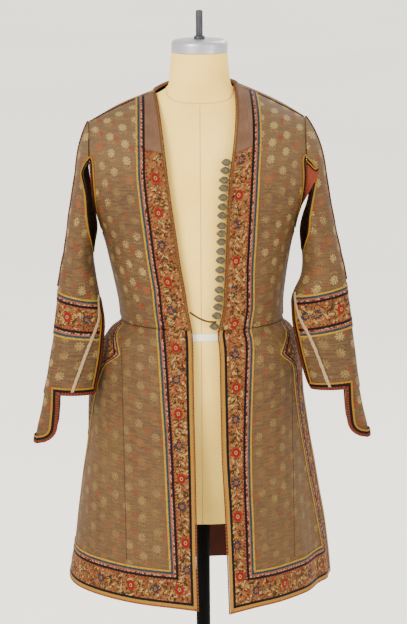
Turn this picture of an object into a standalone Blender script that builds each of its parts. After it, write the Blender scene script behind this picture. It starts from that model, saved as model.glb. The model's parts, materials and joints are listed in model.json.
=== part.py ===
"""A long open-fronted brocade coat on a canvas half-body dress form.

The coat is cut as a bodice (two fronts and a back), a skirt slit at both sides
(two fronts and a back) and two hanging sleeves, each with a pointed cuff flap.
Metres, +Z up. The origin is on the floor under the pole, and the fronts face -Y.
"right" is the wearer's right, at -X.
"""

import math
from collections import namedtuple

import bmesh
import bpy
from mathutils import Vector
from mathutils.bvhtree import BVHTree

# Cloth
WALL = 0.0020
TRIM_WALL = 0.0008
GAP = 0.0003
SEAM = 0.0006
SLIT = 0.0040
BORDER = 0.058
SHOULDER_BORDER = 0.032
BAND_LIFT = WALL / 2 + GAP + TRIM_WALL / 2

# Heights of the coat
HEM_Z = 0.455
WAIST_Z = 0.940
UNDERARM_Z = 1.104
CHEST_Z = 1.210
BORDER_COLUMNS = 2
SKIRT_FRONT_COLUMNS = 5
SKIRT_BACK_COLUMNS = 10
FRONT_COLUMNS = 5
BACK_COLUMNS = 9
NECK_COLUMNS = 4
ARMHOLE_ROWS = 4
YOKE_ROWS = 7
CHEST_ROW = 10
FACING_ROW = 13

# Dress form and stand
FORM_BOTTOM_Z = 0.584
NECK_TOP_Z = 1.4185
POLE_RADIUS = 0.0127
BASE_HEIGHT = 0.016
FORM_SEGMENTS = 28

# Pipings, buttons and cord. Each button hangs its own drop below the top one.
PIPING_RADIUS = 0.0012
PIPING_STEPS = 24
BUTTON_TOP_Z = 1.2385
BUTTON_LENGTH = 0.0172
BUTTON_HEIGHT = 0.0130
BUTTON_DEPTH = 0.0120
BUTTON_TAPER = 0.45
BUTTON_FORWARD = 0.0010
BUTTON_DROPS = [
    0.0000, 0.0141, 0.0308, 0.0446, 0.0610, 0.0774, 0.0924, 0.1106, 0.1248, 0.1394,
    0.1566, 0.1728, 0.1904, 0.2068, 0.2264, 0.2421, 0.2571, 0.2728, 0.2918,
]
CORD_DIAMETER = 0.0028
CORD_STEPS = 16
CORD_START_Z = 0.972
CORD_SAG = 0.0040
CORD_FORWARD = 0.0040
CORD_END_DROP = 0.0095

SIDES = {"right": -1.0, "left": 1.0}

# One row a level: half widths to the side seam and to the front edge of each
# half, the depth of the front, of each side seam and of the back, and how far
# the front turns from its edge to the side seam, in degrees.
Level = namedtuple(
    "Level",
    "z right_out left_out right_edge left_edge front_y right_side_y left_side_y back_y "
    "right_turn left_turn",
)

SKIRT = [
    Level(0.4550, 0.2255, 0.2340, 0.0103, 0.0478, -0.200, 0.062, 0.040, 0.138, 112, 60),
    Level(0.5340, 0.2178, 0.2260, 0.0123, 0.0450, -0.186, 0.058, 0.036, 0.134, 110, 63),
    Level(0.6270, 0.2110, 0.2105, 0.0133, 0.0415, -0.170, 0.050, 0.028, 0.130, 106, 67),
    Level(0.7150, 0.2025, 0.1955, 0.0145, 0.0370, -0.155, 0.038, 0.018, 0.126, 101, 73),
    Level(0.7965, 0.2026, 0.1835, 0.0160, 0.0355, -0.139, 0.018, 0.008, 0.121, 92, 79),
    Level(0.8500, 0.1945, 0.1795, 0.0165, 0.0347, -0.130, 0.006, 0.002, 0.117, 86, 83),
    Level(0.8780, 0.1855, 0.1755, 0.0167, 0.0345, -0.126, 0.000, 0.000, 0.112, 86, 86),
    Level(0.9060, 0.1727, 0.1690, 0.0168, 0.0337, -0.121, 0.000, 0.000, 0.107, 88, 88),
    Level(0.9250, 0.1585, 0.1590, 0.0175, 0.0315, -0.118, 0.000, 0.000, 0.102, 90, 90),
    Level(0.9350, 0.1435, 0.1455, 0.0185, 0.0305, -0.116, 0.000, 0.000, 0.099, 90, 90),
    Level(0.9400, 0.1430, 0.1452, 0.0187, 0.0320, -0.116, 0.000, 0.000, 0.099, 90, 90),
]

BODICE = [
    Level(0.9400, 0.1430, 0.1452, 0.0187, 0.0320, -0.116, 0.000, 0.000, 0.099, 90, 90),
    Level(0.9730, 0.1460, 0.1455, 0.0250, 0.0405, -0.115, 0.000, 0.000, 0.098, 90, 90),
    Level(1.0100, 0.1535, 0.1495, 0.0300, 0.0430, -0.117, 0.000, 0.000, 0.100, 90, 90),
    Level(1.0450, 0.1612, 0.1545, 0.0360, 0.0448, -0.120, 0.000, 0.000, 0.104, 90, 90),
    Level(1.0800, 0.1690, 0.1610, 0.0410, 0.0463, -0.124, 0.000, 0.000, 0.109, 90, 90),
    Level(1.1040, 0.1765, 0.1680, 0.0440, 0.0472, -0.127, 0.000, 0.000, 0.112, 90, 90),
    Level(1.1500, 0.1860, 0.1760, 0.0505, 0.0490, -0.130, 0.000, 0.000, 0.116, 90, 90),
    Level(1.2100, 0.1930, 0.1840, 0.0585, 0.0525, -0.126, 0.000, 0.000, 0.114, 90, 90),
]

# How far the front corners of the hem hang below it.
CORNER_DIP = {"right": 0.0040, "left": 0.0100}
CORNER_REACH = 0.070

# How far the hem rises towards each side slit, and the height over which it does.
SIDE_LIFT = {"right": 0.0240, "left": 0.0}
LIFT_REACH = 0.350

# Armhole edge from the underarm up to the top of the open slit.
Armhole = namedtuple("Armhole", "part z right_x left_x front_y back_y turn")
ARMHOLE = [
    Armhole(0.00, 1.104, 0.1765, 0.1680, 0.000, 0.000, 90),
    Armhole(0.25, 1.133, 0.1830, 0.1735, -0.027, 0.026, 78),
    Armhole(0.50, 1.166, 0.1890, 0.1820, -0.0455, 0.043, 66),
    Armhole(0.75, 1.200, 0.1925, 0.1870, -0.0535, 0.050, 56),
    Armhole(1.00, 1.232, 0.1940, 0.1860, -0.0560, 0.051, 48),
]

# Shoulder seam ends: at the neck and at the tip.
Shoulder = namedtuple("Shoulder", "neck_x neck_z tip_x tip_z edge_bow")
SHOULDER = {
    "right": Shoulder(0.0800, 1.3485, 0.1962, 1.2960, 0.0000),
    "left": Shoulder(0.0620, 1.3600, 0.1850, 1.3020, 0.0070),
}
SHOULDER_Y = -0.012
SHOULDER_BOW = 0.004
BACK_NECK_Y = 0.064
BACK_NECK_Z = 1.3660
FRONT_YOKE_TURN = math.radians(80)
BACK_YOKE_TURN = math.radians(100)

# Soft folds of the skirt: where along the row, half width along the row, how
# far the cloth moves out at the hem, and the height at which the fold has gone.
Fold = namedtuple("Fold", "panel place width depth top_z")
FOLDS = [
    Fold("skirt_front_right", 0.62, 0.16, 0.0045, 0.80),
    Fold("skirt_front_right", 0.88, 0.10, -0.0035, 0.74),
    Fold("skirt_front_left", 0.56, 0.17, 0.0040, 0.78),
    Fold("skirt_front_left", 0.84, 0.10, 0.0060, 0.72),
    Fold("skirt_back", 0.24, 0.09, 0.0080, 0.84),
    Fold("skirt_back", 0.42, 0.08, -0.0060, 0.80),
    Fold("skirt_back", 0.60, 0.09, 0.0070, 0.86),
    Fold("skirt_back", 0.80, 0.08, -0.0050, 0.78),
]

# Sleeve rings, top down. outer and inner are half widths from the coat's
# middle, tilt is the rise towards the outer side, and the two angles say how
# far round from the outer side the cloth reaches at the front and at the back.
Ring = namedtuple("Ring", "z outer inner depth y tilt front_turn back_turn")
SLEEVE = {
    "right": [
        Ring(1.2080, 0.2215, 0.1640, 0.0520, -0.004, 0.00, 62, 74),
        Ring(1.1740, 0.2262, 0.1700, 0.0540, -0.006, 0.00, 88, 92),
        Ring(1.1390, 0.2320, 0.1760, 0.0540, -0.010, 0.00, 103, 112),
        Ring(1.1030, 0.2375, 0.1833, 0.0530, -0.014, 0.02, 124, 150),
        Ring(1.0650, 0.2427, 0.1923, 0.0510, -0.020, 0.08, 166, 173),
        Ring(1.0300, 0.2488, 0.1874, 0.0480, -0.028, 0.15, 174, 174),
        Ring(0.9925, 0.2540, 0.1810, 0.0430, -0.037, 0.22, 172, 174),
        Ring(0.9560, 0.2577, 0.1750, 0.0385, -0.044, 0.16, 168, 174),
        Ring(0.9180, 0.2631, 0.1760, 0.0360, -0.051, 0.10, 165, 174),
        Ring(0.8720, 0.2713, 0.1810, 0.0340, -0.058, 0.05, 164, 174),
        Ring(0.8320, 0.2792, 0.1893, 0.0330, -0.064, 0.03, 164, 174),
        Ring(0.8195, 0.2818, 0.1915, 0.0328, -0.066, 0.03, 164, 174),
    ],
    "left": [
        Ring(1.2060, 0.2225, 0.1600, 0.0520, -0.004, 0.00, 70, 78),
        Ring(1.1710, 0.2268, 0.1620, 0.0540, -0.006, 0.00, 88, 86),
        Ring(1.1360, 0.2330, 0.1660, 0.0540, -0.010, 0.00, 106, 106),
        Ring(1.1000, 0.2400, 0.1736, 0.0530, -0.014, 0.03, 124, 145),
        Ring(1.0610, 0.2479, 0.1814, 0.0510, -0.020, 0.08, 166, 173),
        Ring(1.0260, 0.2549, 0.1776, 0.0470, -0.028, 0.14, 174, 174),
        Ring(0.9988, 0.2585, 0.1645, 0.0420, -0.036, 0.20, 172, 174),
        Ring(0.9600, 0.2635, 0.1636, 0.0370, -0.044, 0.19, 168, 174),
        Ring(0.9232, 0.2686, 0.1691, 0.0340, -0.051, 0.18, 165, 174),
        Ring(0.8720, 0.2752, 0.1799, 0.0325, -0.058, 0.10, 164, 174),
        Ring(0.8390, 0.2800, 0.1890, 0.0315, -0.063, 0.06, 164, 174),
        Ring(0.8265, 0.2815, 0.1950, 0.0315, -0.066, 0.04, 164, 174),
    ],
}
BAND_TOP_RING = 6
BAND_BOTTOM_RING = 8
CAP_ROWS = 4
CAP_OUT = 0.0016
CAP_TURN = math.radians(80)
CAP_EVEN_DROP = 0.45

# Cuff flap: drop below the cuff, how far out its outer line leans, and its
# half turn round the ring.
Flap = namedtuple("Flap", "drop lean turn")
CUFF_FLAP = [
    Flap(0.000, 0.0000, 68),
    Flap(0.022, 0.0043, 73),
    Flap(0.044, 0.0090, 77),
    Flap(0.064, 0.0135, 79),
    Flap(0.077, 0.0160, 72),
    Flap(0.086, 0.0174, 56),
    Flap(0.091, 0.0180, 32),
]
FLAP_COLUMNS = 8
SIDE_COLUMNS = 5
EDGING_TURN = 15.0

# Cream tape down the front of each forearm: height and turn from the outer side.
Tape = namedtuple("Tape", "z turn")
SLEEVE_TAPE = {
    "right": [Tape(1.000, 158), Tape(0.955, 140), Tape(0.918, 121), Tape(0.872, 106), Tape(0.826, 97)],
    "left": [Tape(1.004, 158), Tape(0.960, 138), Tape(0.923, 120), Tape(0.872, 108), Tape(0.832, 101)],
}
TAPE_WIDTH = 0.0045
TAPE_STEPS = 14
TAPE_CLEAR = 0.0011

# Dress form sections, before the coat's shoulders limit them.
Section = namedtuple("Section", "z half_width front_y back_y")
FORM = [
    Section(0.5840, 0.1650, -0.107, 0.091),
    Section(0.6000, 0.1690, -0.110, 0.095),
    Section(0.6600, 0.1720, -0.112, 0.102),
    Section(0.7400, 0.1680, -0.112, 0.105),
    Section(0.8200, 0.1550, -0.109, 0.101),
    Section(0.8900, 0.1370, -0.105, 0.091),
    Section(0.9450, 0.1290, -0.103, 0.084),
    Section(1.0100, 0.1360, -0.106, 0.087),
    Section(1.0800, 0.1490, -0.113, 0.096),
    Section(1.1500, 0.1630, -0.119, 0.104),
    Section(1.2100, 0.1720, -0.116, 0.104),
    Section(1.2500, 0.1765, -0.107, 0.100),
    Section(1.2850, 0.1830, -0.093, 0.092),
    Section(1.3000, 0.1800, -0.083, 0.086),
    Section(1.3120, 0.1700, -0.075, 0.079),
    Section(1.3230, 0.1450, -0.066, 0.072),
    Section(1.3340, 0.1160, -0.057, 0.066),
    Section(1.3440, 0.0800, -0.0530, 0.0600),
    Section(1.3520, 0.0640, -0.0525, 0.0565),
    Section(1.3600, 0.0560, -0.0520, 0.054),
    Section(1.3800, 0.0530, -0.0515, 0.0525),
    Section(1.4000, 0.0512, -0.0505, 0.051),
    Section(1.4185, 0.0497, -0.0497, 0.0497),
]
# Heights of the form's rings, closer where it curves, and the waist tape's two.
FORM_LEVELS = [
    0.584, 0.592, 0.62, 0.69, 0.76, 0.83, 0.88, 0.9165, 0.9325, 0.98, 1.03, 1.08, 1.13, 1.18,
    1.22, 1.25, 1.272, 1.289, 1.302, 1.315, 1.328, 1.341, 1.352, 1.362, 1.385, 1.4185,
]
TAPE_LEVELS = (7, 8)

# Turned parts, each from its axis outwards and down: radius and height, where
# the heights of the cap and the rod are above their own lower end.
CAP_PROFILE = [
    (0.0, 0.0227), (0.0120, 0.0227), (0.0440, 0.0217), (0.0480, 0.0192),
    (0.0497, 0.0157), (0.0497, 0.0), (0.0, 0.0),
]
ROD_PROFILE = [
    (0.0, 0.0507), (0.0047, 0.0507), (0.0062, 0.0487), (0.0062, 0.0060),
    (0.0095, 0.0050), (0.0100, 0.0), (0.0, 0.0),
]
BASE_PROFILE = [
    (0.0, BASE_HEIGHT), (0.0350, BASE_HEIGHT), (0.1650, 0.0125), (0.1920, 0.0105),
    (0.2000, 0.0060), (0.2000, 0.0), (0.0, 0.0),
]


def clear_scene():
    for thing in list(bpy.data.objects):
        bpy.data.objects.remove(thing, do_unlink=True)


def make_material(name, colour, roughness, metallic=0.0):
    material = bpy.data.materials.new(name)
    material.use_nodes = True
    shader = material.node_tree.nodes["Principled BSDF"]
    shader.inputs["Base Color"].default_value = (*colour, 1.0)
    shader.inputs["Roughness"].default_value = roughness
    shader.inputs["Metallic"].default_value = metallic
    material.diffuse_color = (*colour, 1.0)
    return material


def add_object(name, data, material, collection):
    thing = bpy.data.objects.new(name, data)
    data.materials.append(material)
    collection.objects.link(thing)
    return thing


def read(rows, key, at, column):
    """A column of a table, smoothly between its rows."""
    keys = [getattr(row, key) for row in rows]
    values = [getattr(row, column) for row in rows]
    last = len(rows) - 1
    rising = keys[-1] > keys[0]
    k = 0
    while k < last - 1 and ((at > keys[k + 1]) if rising else (at < keys[k + 1])):
        k += 1
    span = keys[k + 1] - keys[k]
    t = min(max((at - keys[k]) / span, 0.0), 1.0)

    def slope(i):
        low, high = max(i - 1, 0), min(i + 1, last)
        return (values[high] - values[low]) / (keys[high] - keys[low])

    start, end = slope(k) * span, slope(k + 1) * span
    return (
        values[k] * (2 * t**3 - 3 * t**2 + 1)
        + start * (t**3 - 2 * t**2 + t)
        + values[k + 1] * (3 * t**2 - 2 * t**3)
        + end * (t**3 - t**2)
    )


def turning_row(inner, outer, turn, count=64):
    """Points from inner to outer on an arc that turns away from -Y or +Y by turn degrees."""
    angle = math.radians(turn)
    points = []
    for i in range(count + 1):
        s = i / count
        along = math.sin(s * angle) / math.sin(angle)
        back = (1 - math.cos(s * angle)) / (1 - math.cos(angle))
        points.append(
            Vector((
                inner.x + (outer.x - inner.x) * along,
                inner.y + (outer.y - inner.y) * back,
                inner.z + (outer.z - inner.z) * s,
            ))
        )
    return points


def row_length(points):
    return sum((b - a).length for a, b in zip(points, points[1:]))


def at_distances(points, distances):
    """Points of a fine row at given lengths from its start."""
    found = []
    k, passed = 0, 0.0
    for distance in distances:
        while k < len(points) - 2 and passed + (points[k + 1] - points[k]).length < distance:
            passed += (points[k + 1] - points[k]).length
            k += 1
        step = (points[k + 1] - points[k]).length
        found.append(points[k].lerp(points[k + 1], min(max((distance - passed) / step, 0.0), 1.0)))
    return found


def stops(length, start_border, end_border, middle):
    """Column places along a row: evenly in each border, and evenly between the borders."""
    steps = [k / BORDER_COLUMNS for k in range(BORDER_COLUMNS + 1)]
    low = [start_border * step for step in steps] if start_border else [0.0]
    high = [length - end_border * (1 - step) for step in steps] if end_border else [length]
    between = [low[-1] + (high[0] - low[-1]) * k / middle for k in range(1, middle)]
    return low + between + high


def level_ends(rows, side, z, gap):
    """Front edge, side seam and back middle of one half at a height."""
    sign = SIDES[side]
    out = sign * read(rows, "z", z, side + "_out")
    edge = sign * read(rows, "z", z, side + "_edge")
    side_y = read(rows, "z", z, side + "_side_y")
    front = Vector((edge, read(rows, "z", z, "front_y"), z))
    back = Vector((0.0, read(rows, "z", z, "back_y"), z))
    return front, Vector((out, side_y - gap / 2, z)), Vector((out, side_y + gap / 2, z)), back


def fold_shift(panel, place, z):
    """How far the soft folds move the cloth out at a place of a panel."""
    shift = 0.0
    for fold in FOLDS:
        if fold.panel == panel and z < fold.top_z:
            reach = (fold.top_z - z) / (fold.top_z - HEM_Z)
            offset = (place - fold.place) / fold.width
            shift += fold.depth * reach**1.3 * math.exp(-2.0 * offset * offset)
    return shift


def folded(panel, row):
    """A skirt row with its folds, each point moved along the row's own horizontal normal."""
    length = row_length(row)
    moved, passed = [], 0.0
    for i, point in enumerate(row):
        before, after = row[max(i - 1, 0)], row[min(i + 1, len(row) - 1)]
        along = (after - before).normalized()
        out = Vector((along.y, -along.x, 0.0))
        if out.dot(Vector((point.x, point.y, 0.0))) < 0:
            out = -out
        passed += (point - row[i - 1]).length if i else 0.0
        moved.append(point + out * fold_shift(panel, passed / length, point.z))
    return moved


def skirt_heights():
    hem = [HEM_Z + BORDER * k / BORDER_COLUMNS for k in range(BORDER_COLUMNS + 1)]
    return hem + [
        0.570, 0.630, 0.690, 0.740, 0.785, 0.825, 0.860, 0.885, 0.905, 0.922, 0.9350,
        WAIST_Z - SEAM / 2,
    ]


def side_lift(side, share, z):
    """How far the cloth is raised at a share of the way from the middle to the side slit."""
    return SIDE_LIFT[side] * max(0.0, 1 - (z - HEM_Z) / LIFT_REACH) * share**1.3


def skirt_front_grid(side):
    grid = []
    for z in skirt_heights():
        front, seam, _, _ = level_ends(SKIRT, side, z, SLIT)
        row = folded("skirt_front_" + side, turning_row(front, seam, read(SKIRT, "z", z, side + "_turn")))
        length = row_length(row)
        places = stops(length, BORDER, BORDER, SKIRT_FRONT_COLUMNS)
        points = at_distances(row, places)
        for point, place in zip(points, places):
            near_hem = max(0.0, 1 - (z - HEM_Z) / CORNER_REACH)
            near_edge = max(0.0, 1 - place / CORNER_REACH)
            point.z -= CORNER_DIP[side] * near_hem * near_edge**2
            point.z += side_lift(side, place / length, z)
        grid.append(points)
    return grid


def skirt_back_grid():
    grid = []
    for z in skirt_heights():
        halves = {}
        for side in SIDES:
            _, _, seam, middle = level_ends(SKIRT, side, z, SLIT)
            halves[side] = turning_row(middle, seam, 90)
        row = folded("skirt_back", list(reversed(halves["right"])) + halves["left"][1:])
        half = row_length(row) / 2
        places = stops(2 * half, BORDER, BORDER, SKIRT_BACK_COLUMNS)
        points = at_distances(row, places)
        for point, place in zip(points, places):
            side = "right" if place < half else "left"
            point.z += side_lift(side, abs(place - half) / half, z)
        grid.append(points)
    return grid


def bodice_heights():
    return [WAIST_Z + SEAM / 2, 0.960, 0.990, 1.020, 1.050, 1.080, UNDERARM_Z]


def armhole_ends(side, part, back):
    """Inner and outer end and turn of a row between the underarm and the slit's top."""
    sign = SIDES[side]
    inner_z = UNDERARM_Z + (CHEST_Z - UNDERARM_Z) * part
    front, _, _, middle = level_ends(BODICE, side, inner_z, SEAM)
    y = read(ARMHOLE, "part", part, "back_y" if back else "front_y")
    y += SEAM / 2 if back else -SEAM / 2
    outer = Vector((sign * read(ARMHOLE, "part", part, side + "_x"), y, read(ARMHOLE, "part", part, "z")))
    return (middle if back else front), outer, read(ARMHOLE, "part", part, "turn")


def yoke_point(low, top, part, turn):
    """A point on the arc that climbs from the chest and bends over to the shoulder."""
    climb = math.sin(part * turn) / math.sin(turn)
    bend = (1 - math.cos(part * turn)) / (1 - math.cos(turn))
    return Vector((
        low.x + (top.x - low.x) * part,
        low.y + (top.y - low.y) * bend,
        low.z + (top.z - low.z) * climb,
    ))


def shoulder_line(side, places):
    """Points of the front's shoulder seam, neck to tip, at shares of its length."""
    shoulder, sign = SHOULDER[side], SIDES[side]
    neck = Vector((sign * shoulder.neck_x, SHOULDER_Y - SEAM / 2, shoulder.neck_z))
    tip = Vector((sign * shoulder.tip_x, SHOULDER_Y - SEAM / 2, shoulder.tip_z))
    line = []
    for place in places:
        point = neck.lerp(tip, place)
        point.z += SHOULDER_BOW * math.sin(math.pi * place)
        line.append(point)
    return line


def bodice_front_grid(side):
    grid = []
    for z in bodice_heights():
        front, seam, _, _ = level_ends(BODICE, side, z, SEAM)
        row = turning_row(front, seam, 90)
        grid.append(at_distances(row, stops(row_length(row), BORDER, 0.0, FRONT_COLUMNS)))
    for k in range(1, ARMHOLE_ROWS + 1):
        row = turning_row(*armhole_ends(side, k / ARMHOLE_ROWS, back=False))
        grid.append(at_distances(row, stops(row_length(row), BORDER, 0.0, FRONT_COLUMNS)))
    chest = grid[-1]
    shoulder, sign = SHOULDER[side], SIDES[side]
    seam_length = shoulder.tip_x - shoulder.neck_x
    places = [stop / seam_length for stop in stops(seam_length, SHOULDER_BORDER, 0.0, FRONT_COLUMNS)]
    top = shoulder_line(side, places)
    for k in range(1, YOKE_ROWS + 1):
        part = k / YOKE_ROWS
        row = []
        for low, high, place in zip(chest, top, places):
            point = yoke_point(low, high, part, FRONT_YOKE_TURN)
            point.x += sign * shoulder.edge_bow * math.sin(math.pi * part) * (1 - place)
            row.append(point)
        grid.append(row)
    return grid


def back_top_half(side, inner_count, outer_count):
    """The back's neckline and shoulder seam, from the middle to the tip."""
    shoulder, sign = SHOULDER[side], SIDES[side]
    line = []
    for k in range(inner_count):
        angle = math.radians(90) * k / inner_count
        line.append(
            Vector((
                sign * shoulder.neck_x * math.sin(angle),
                BACK_NECK_Y + (SHOULDER_Y + SEAM / 2 - BACK_NECK_Y) * (1 - math.cos(angle)),
                BACK_NECK_Z + (shoulder.neck_z - BACK_NECK_Z) * math.sin(angle) ** 2,
            ))
        )
    for point in shoulder_line(side, [k / outer_count for k in range(outer_count + 1)]):
        line.append(point + Vector((0.0, SEAM, 0.0)))
    return line


def bodice_back_grid():
    half_columns, inner_count = BACK_COLUMNS, NECK_COLUMNS
    shares = [k / half_columns for k in range(half_columns + 1)]
    grid = []

    def add(rows_of_side):
        right, left = rows_of_side["right"], rows_of_side["left"]
        grid.append(list(reversed(right)) + left[1:])

    for z in bodice_heights():
        rows = {}
        for side in SIDES:
            _, _, seam, middle = level_ends(BODICE, side, z, SEAM)
            fine = turning_row(middle, seam, 90)
            rows[side] = at_distances(fine, [share * row_length(fine) for share in shares])
        add(rows)
    for k in range(1, ARMHOLE_ROWS + 1):
        rows = {}
        for side in SIDES:
            fine = turning_row(*armhole_ends(side, k / ARMHOLE_ROWS, back=True))
            rows[side] = at_distances(fine, [share * row_length(fine) for share in shares])
        add(rows)
    chest = rows
    for k in range(1, YOKE_ROWS + 1):
        part = k / YOKE_ROWS
        rows = {}
        for side in SIDES:
            top = back_top_half(side, inner_count, half_columns - inner_count)
            rows[side] = [
                yoke_point(low, high, part, BACK_YOKE_TURN) for low, high in zip(chest[side], top)
            ]
        add(rows)
    return grid


def ring_point(side, ring, turn, out=0.0):
    """A point of a sleeve ring, turn degrees from its outer side, positive to the front."""
    sign = SIDES[side]
    angle = math.radians(turn)
    middle, half = (ring.outer + ring.inner) / 2, (ring.outer - ring.inner) / 2
    x = middle + (half + out) * math.cos(angle)
    y = ring.y - (ring.depth + out) * math.sin(angle)
    return Vector((sign * x, y, ring.z + ring.tilt * (x - middle)))


def ring_at(side, z):
    rows = SLEEVE[side]
    return Ring(z, *[read(rows, "z", z, column) for column in Ring._fields[1:]])


def flap_share(side):
    """Where the cuff flap starts across the sleeve, as a share of its width."""
    cuff = SLEEVE[side][-1]
    return (cuff.front_turn - CUFF_FLAP[0].turn) / (cuff.front_turn + cuff.back_turn)


def sleeve_shares(side):
    """Column places across the sleeve, front edge to back edge, with one each side of the flap."""
    cuff = SLEEVE[side][-1]
    start = flap_share(side)
    end = start + 2 * CUFF_FLAP[0].turn / (cuff.front_turn + cuff.back_turn)
    edging = EDGING_TURN / (cuff.front_turn + cuff.back_turn)
    step = (start - edging) / (SIDE_COLUMNS - 1)
    first = [0.0] + [edging + step * k for k in range(SIDE_COLUMNS - 1)]
    flap = [start + (end - start) * k / FLAP_COLUMNS for k in range(FLAP_COLUMNS + 1)]
    last = [end + (1 - end) * k / SIDE_COLUMNS for k in range(1, SIDE_COLUMNS + 1)]
    return first + flap + last


def armhole_seam(side, share, grids):
    """The sewn part of the armhole, from the front slit over the tip to the back slit."""
    sign = SIDES[side]
    front = [row[-1] for row in grids["bodice_front_" + side][CHEST_ROW:]]
    column = 0 if side == "right" else -1
    back = [row[column] for row in grids["bodice_back"][CHEST_ROW:]]
    line = front + list(reversed(back))
    point = at_distances(line, [share * row_length(line)])[0]
    return point + Vector((sign * CAP_OUT, 0.0, 0.0))


def sleeve_grid(side, grids):
    """Rows from the armhole seam down to the cuff, then the rows of the flap alone."""
    shares = sleeve_shares(side)
    rows = SLEEVE[side]
    first = rows[0]
    grid = []
    for k in range(CAP_ROWS):
        part = k / CAP_ROWS
        row = []
        for share in shares:
            seam = armhole_seam(side, share, grids)
            turn = first.front_turn - share * (first.front_turn + first.back_turn)
            ring = ring_point(side, first, turn)
            out = math.sin(part * CAP_TURN) / math.sin(CAP_TURN)
            down = (1 - math.cos(part * CAP_TURN)) / (1 - math.cos(CAP_TURN))
            drop = CAP_EVEN_DROP * out + (1 - CAP_EVEN_DROP) * down
            row.append(
                Vector((
                    seam.x + (ring.x - seam.x) * out,
                    seam.y + (ring.y - seam.y) * out,
                    seam.z + (ring.z - seam.z) * drop,
                ))
            )
        grid.append(row)
    for ring in rows:
        grid.append(ring_row(side, ring, shares))
    return grid


def ring_row(side, ring, shares):
    total = ring.front_turn + ring.back_turn
    return [ring_point(side, ring, ring.front_turn - share * total) for share in shares]


def flap_grid(side):
    """The cuff flap's rows below the cuff, on the ring carried on downwards."""
    cuff = SLEEVE[side][-1]
    grid = []
    for flap in CUFF_FLAP[1:]:
        ring = cuff._replace(
            z=cuff.z - flap.drop, outer=cuff.outer + flap.lean, inner=cuff.inner + flap.lean
        )
        grid.append([
            ring_point(side, ring, flap.turn * (1 - 2 * k / FLAP_COLUMNS)) for k in range(FLAP_COLUMNS + 1)
        ])
    return grid


def cells_mesh(rows, keep, flip, extra=None):
    """A bmesh of the kept cells of a grid; extra rows hang from the last row at a column."""
    mesh = bmesh.new()
    points = [[mesh.verts.new(point) for point in row] for row in rows]
    tags = []
    for i in range(len(points) - 1):
        for j in range(len(points[0]) - 1):
            corners = [points[i][j], points[i][j + 1], points[i + 1][j + 1], points[i + 1][j]]
            tags.append((mesh.faces.new(corners if not flip else corners[::-1]), keep(i, j)))
    if extra:
        first_column, extra_rows, keep_extra = extra
        upper = points[-1][first_column : first_column + len(extra_rows[0])]
        for i, row in enumerate(extra_rows):
            lower = [mesh.verts.new(point) for point in row]
            for j in range(len(row) - 1):
                corners = [upper[j], upper[j + 1], lower[j + 1], lower[j]]
                tags.append((mesh.faces.new(corners if not flip else corners[::-1]), keep_extra(i, j)))
            upper = lower
    mesh.normal_update()
    return mesh, tags


def sheet(name, rows, material, collection, flip, keep=None, thickness=WALL, lift=0.0, extra=None):
    """A wall of cloth on the kept cells of a panel, moved out from the panel's middle by lift."""
    mesh, tags = cells_mesh(rows, keep or (lambda i, j: True), flip, extra)
    moves = [vert.normal * lift for vert in mesh.verts]
    for vert, move in zip(mesh.verts, moves):
        vert.co += move
    dropped = [face for face, kept in tags if not kept]
    bmesh.ops.delete(mesh, geom=dropped, context="FACES")
    data = bpy.data.meshes.new(name)
    mesh.to_mesh(data)
    mesh.free()
    thing = add_object(name, data, material, collection)
    solidify = thing.modifiers.new("wall", "SOLIDIFY")
    solidify.thickness = thickness
    solidify.offset = 0.0
    return thing


def tube(name, points, radius, material, collection, resolution=0):
    curve = bpy.data.curves.new(name, "CURVE")
    curve.dimensions = "3D"
    curve.bevel_depth = radius
    curve.bevel_resolution = resolution
    curve.use_fill_caps = True
    spline = curve.splines.new("POLY")
    spline.points.add(len(points) - 1)
    for target, point in zip(spline.points, points):
        target.co = (*point, 1.0)
    return add_object(name, curve, material, collection)


def smooth_curve(points, count):
    """Points read from a smooth curve through a few chosen ones."""
    found = []
    last = len(points) - 1
    for i in range(count + 1):
        place = last * i / count
        k = min(int(place), last - 1)
        t = place - k
        p0, p1, p2, p3 = (points[min(max(k + d, 0), last)] for d in (-1, 0, 1, 2))
        found.append(
            0.5 * (2 * p1 + (p2 - p0) * t + (2 * p0 - 5 * p1 + 4 * p2 - p3) * t**2
                   + (3 * p1 - p0 - 3 * p2 + p3) * t**3)
        )
    return found


def pulled(rows, index, towards, distance):
    """The same rows with one row drawn towards its neighbour, which leaves a seam's gap."""
    copy = [list(row) for row in rows]
    copy[index] = [
        point + (near - point).normalized() * distance
        for point, near in zip(rows[index], rows[towards])
    ]
    return copy


def coat_bodice(grids, materials, coat):
    for side in SIDES:
        rows = grids["bodice_front_" + side]
        flip = side == "right"
        last = len(rows) - 1
        sheet("bodice_front_" + side, rows, materials["brocade"], coat, flip)
        sheet(
            "front_border_" + side, rows, materials["border"], coat, flip,
            keep=lambda i, j: j < BORDER_COLUMNS and i < FACING_ROW,
            thickness=TRIM_WALL, lift=BAND_LIFT,
        )
        facing = pulled(pulled(rows, FACING_ROW, FACING_ROW + 1, SEAM), last, last - 1, GAP)
        sheet(
            "neck_facing_" + side, facing, materials["facing"], coat, flip,
            keep=lambda i, j: j < BORDER_COLUMNS and i >= FACING_ROW,
            thickness=TRIM_WALL, lift=BAND_LIFT,
        )
    rows = grids["bodice_back"]
    last = len(rows) - 1
    middle = (len(rows[0]) - 1) // 2
    sheet("bodice_back", rows, materials["brocade"], coat, True)
    sheet(
        "back_neck_border", pulled(rows, last, last - 1, GAP), materials["border"], coat, True,
        keep=lambda i, j: i >= last - 2 and abs(j + 0.5 - middle) < NECK_COLUMNS,
        thickness=TRIM_WALL, lift=BAND_LIFT,
    )


def in_frame(i, j, columns):
    """Whether a skirt cell lies in the border along the hem and both upright edges."""
    return i < BORDER_COLUMNS or j < BORDER_COLUMNS or j >= columns - BORDER_COLUMNS


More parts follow.
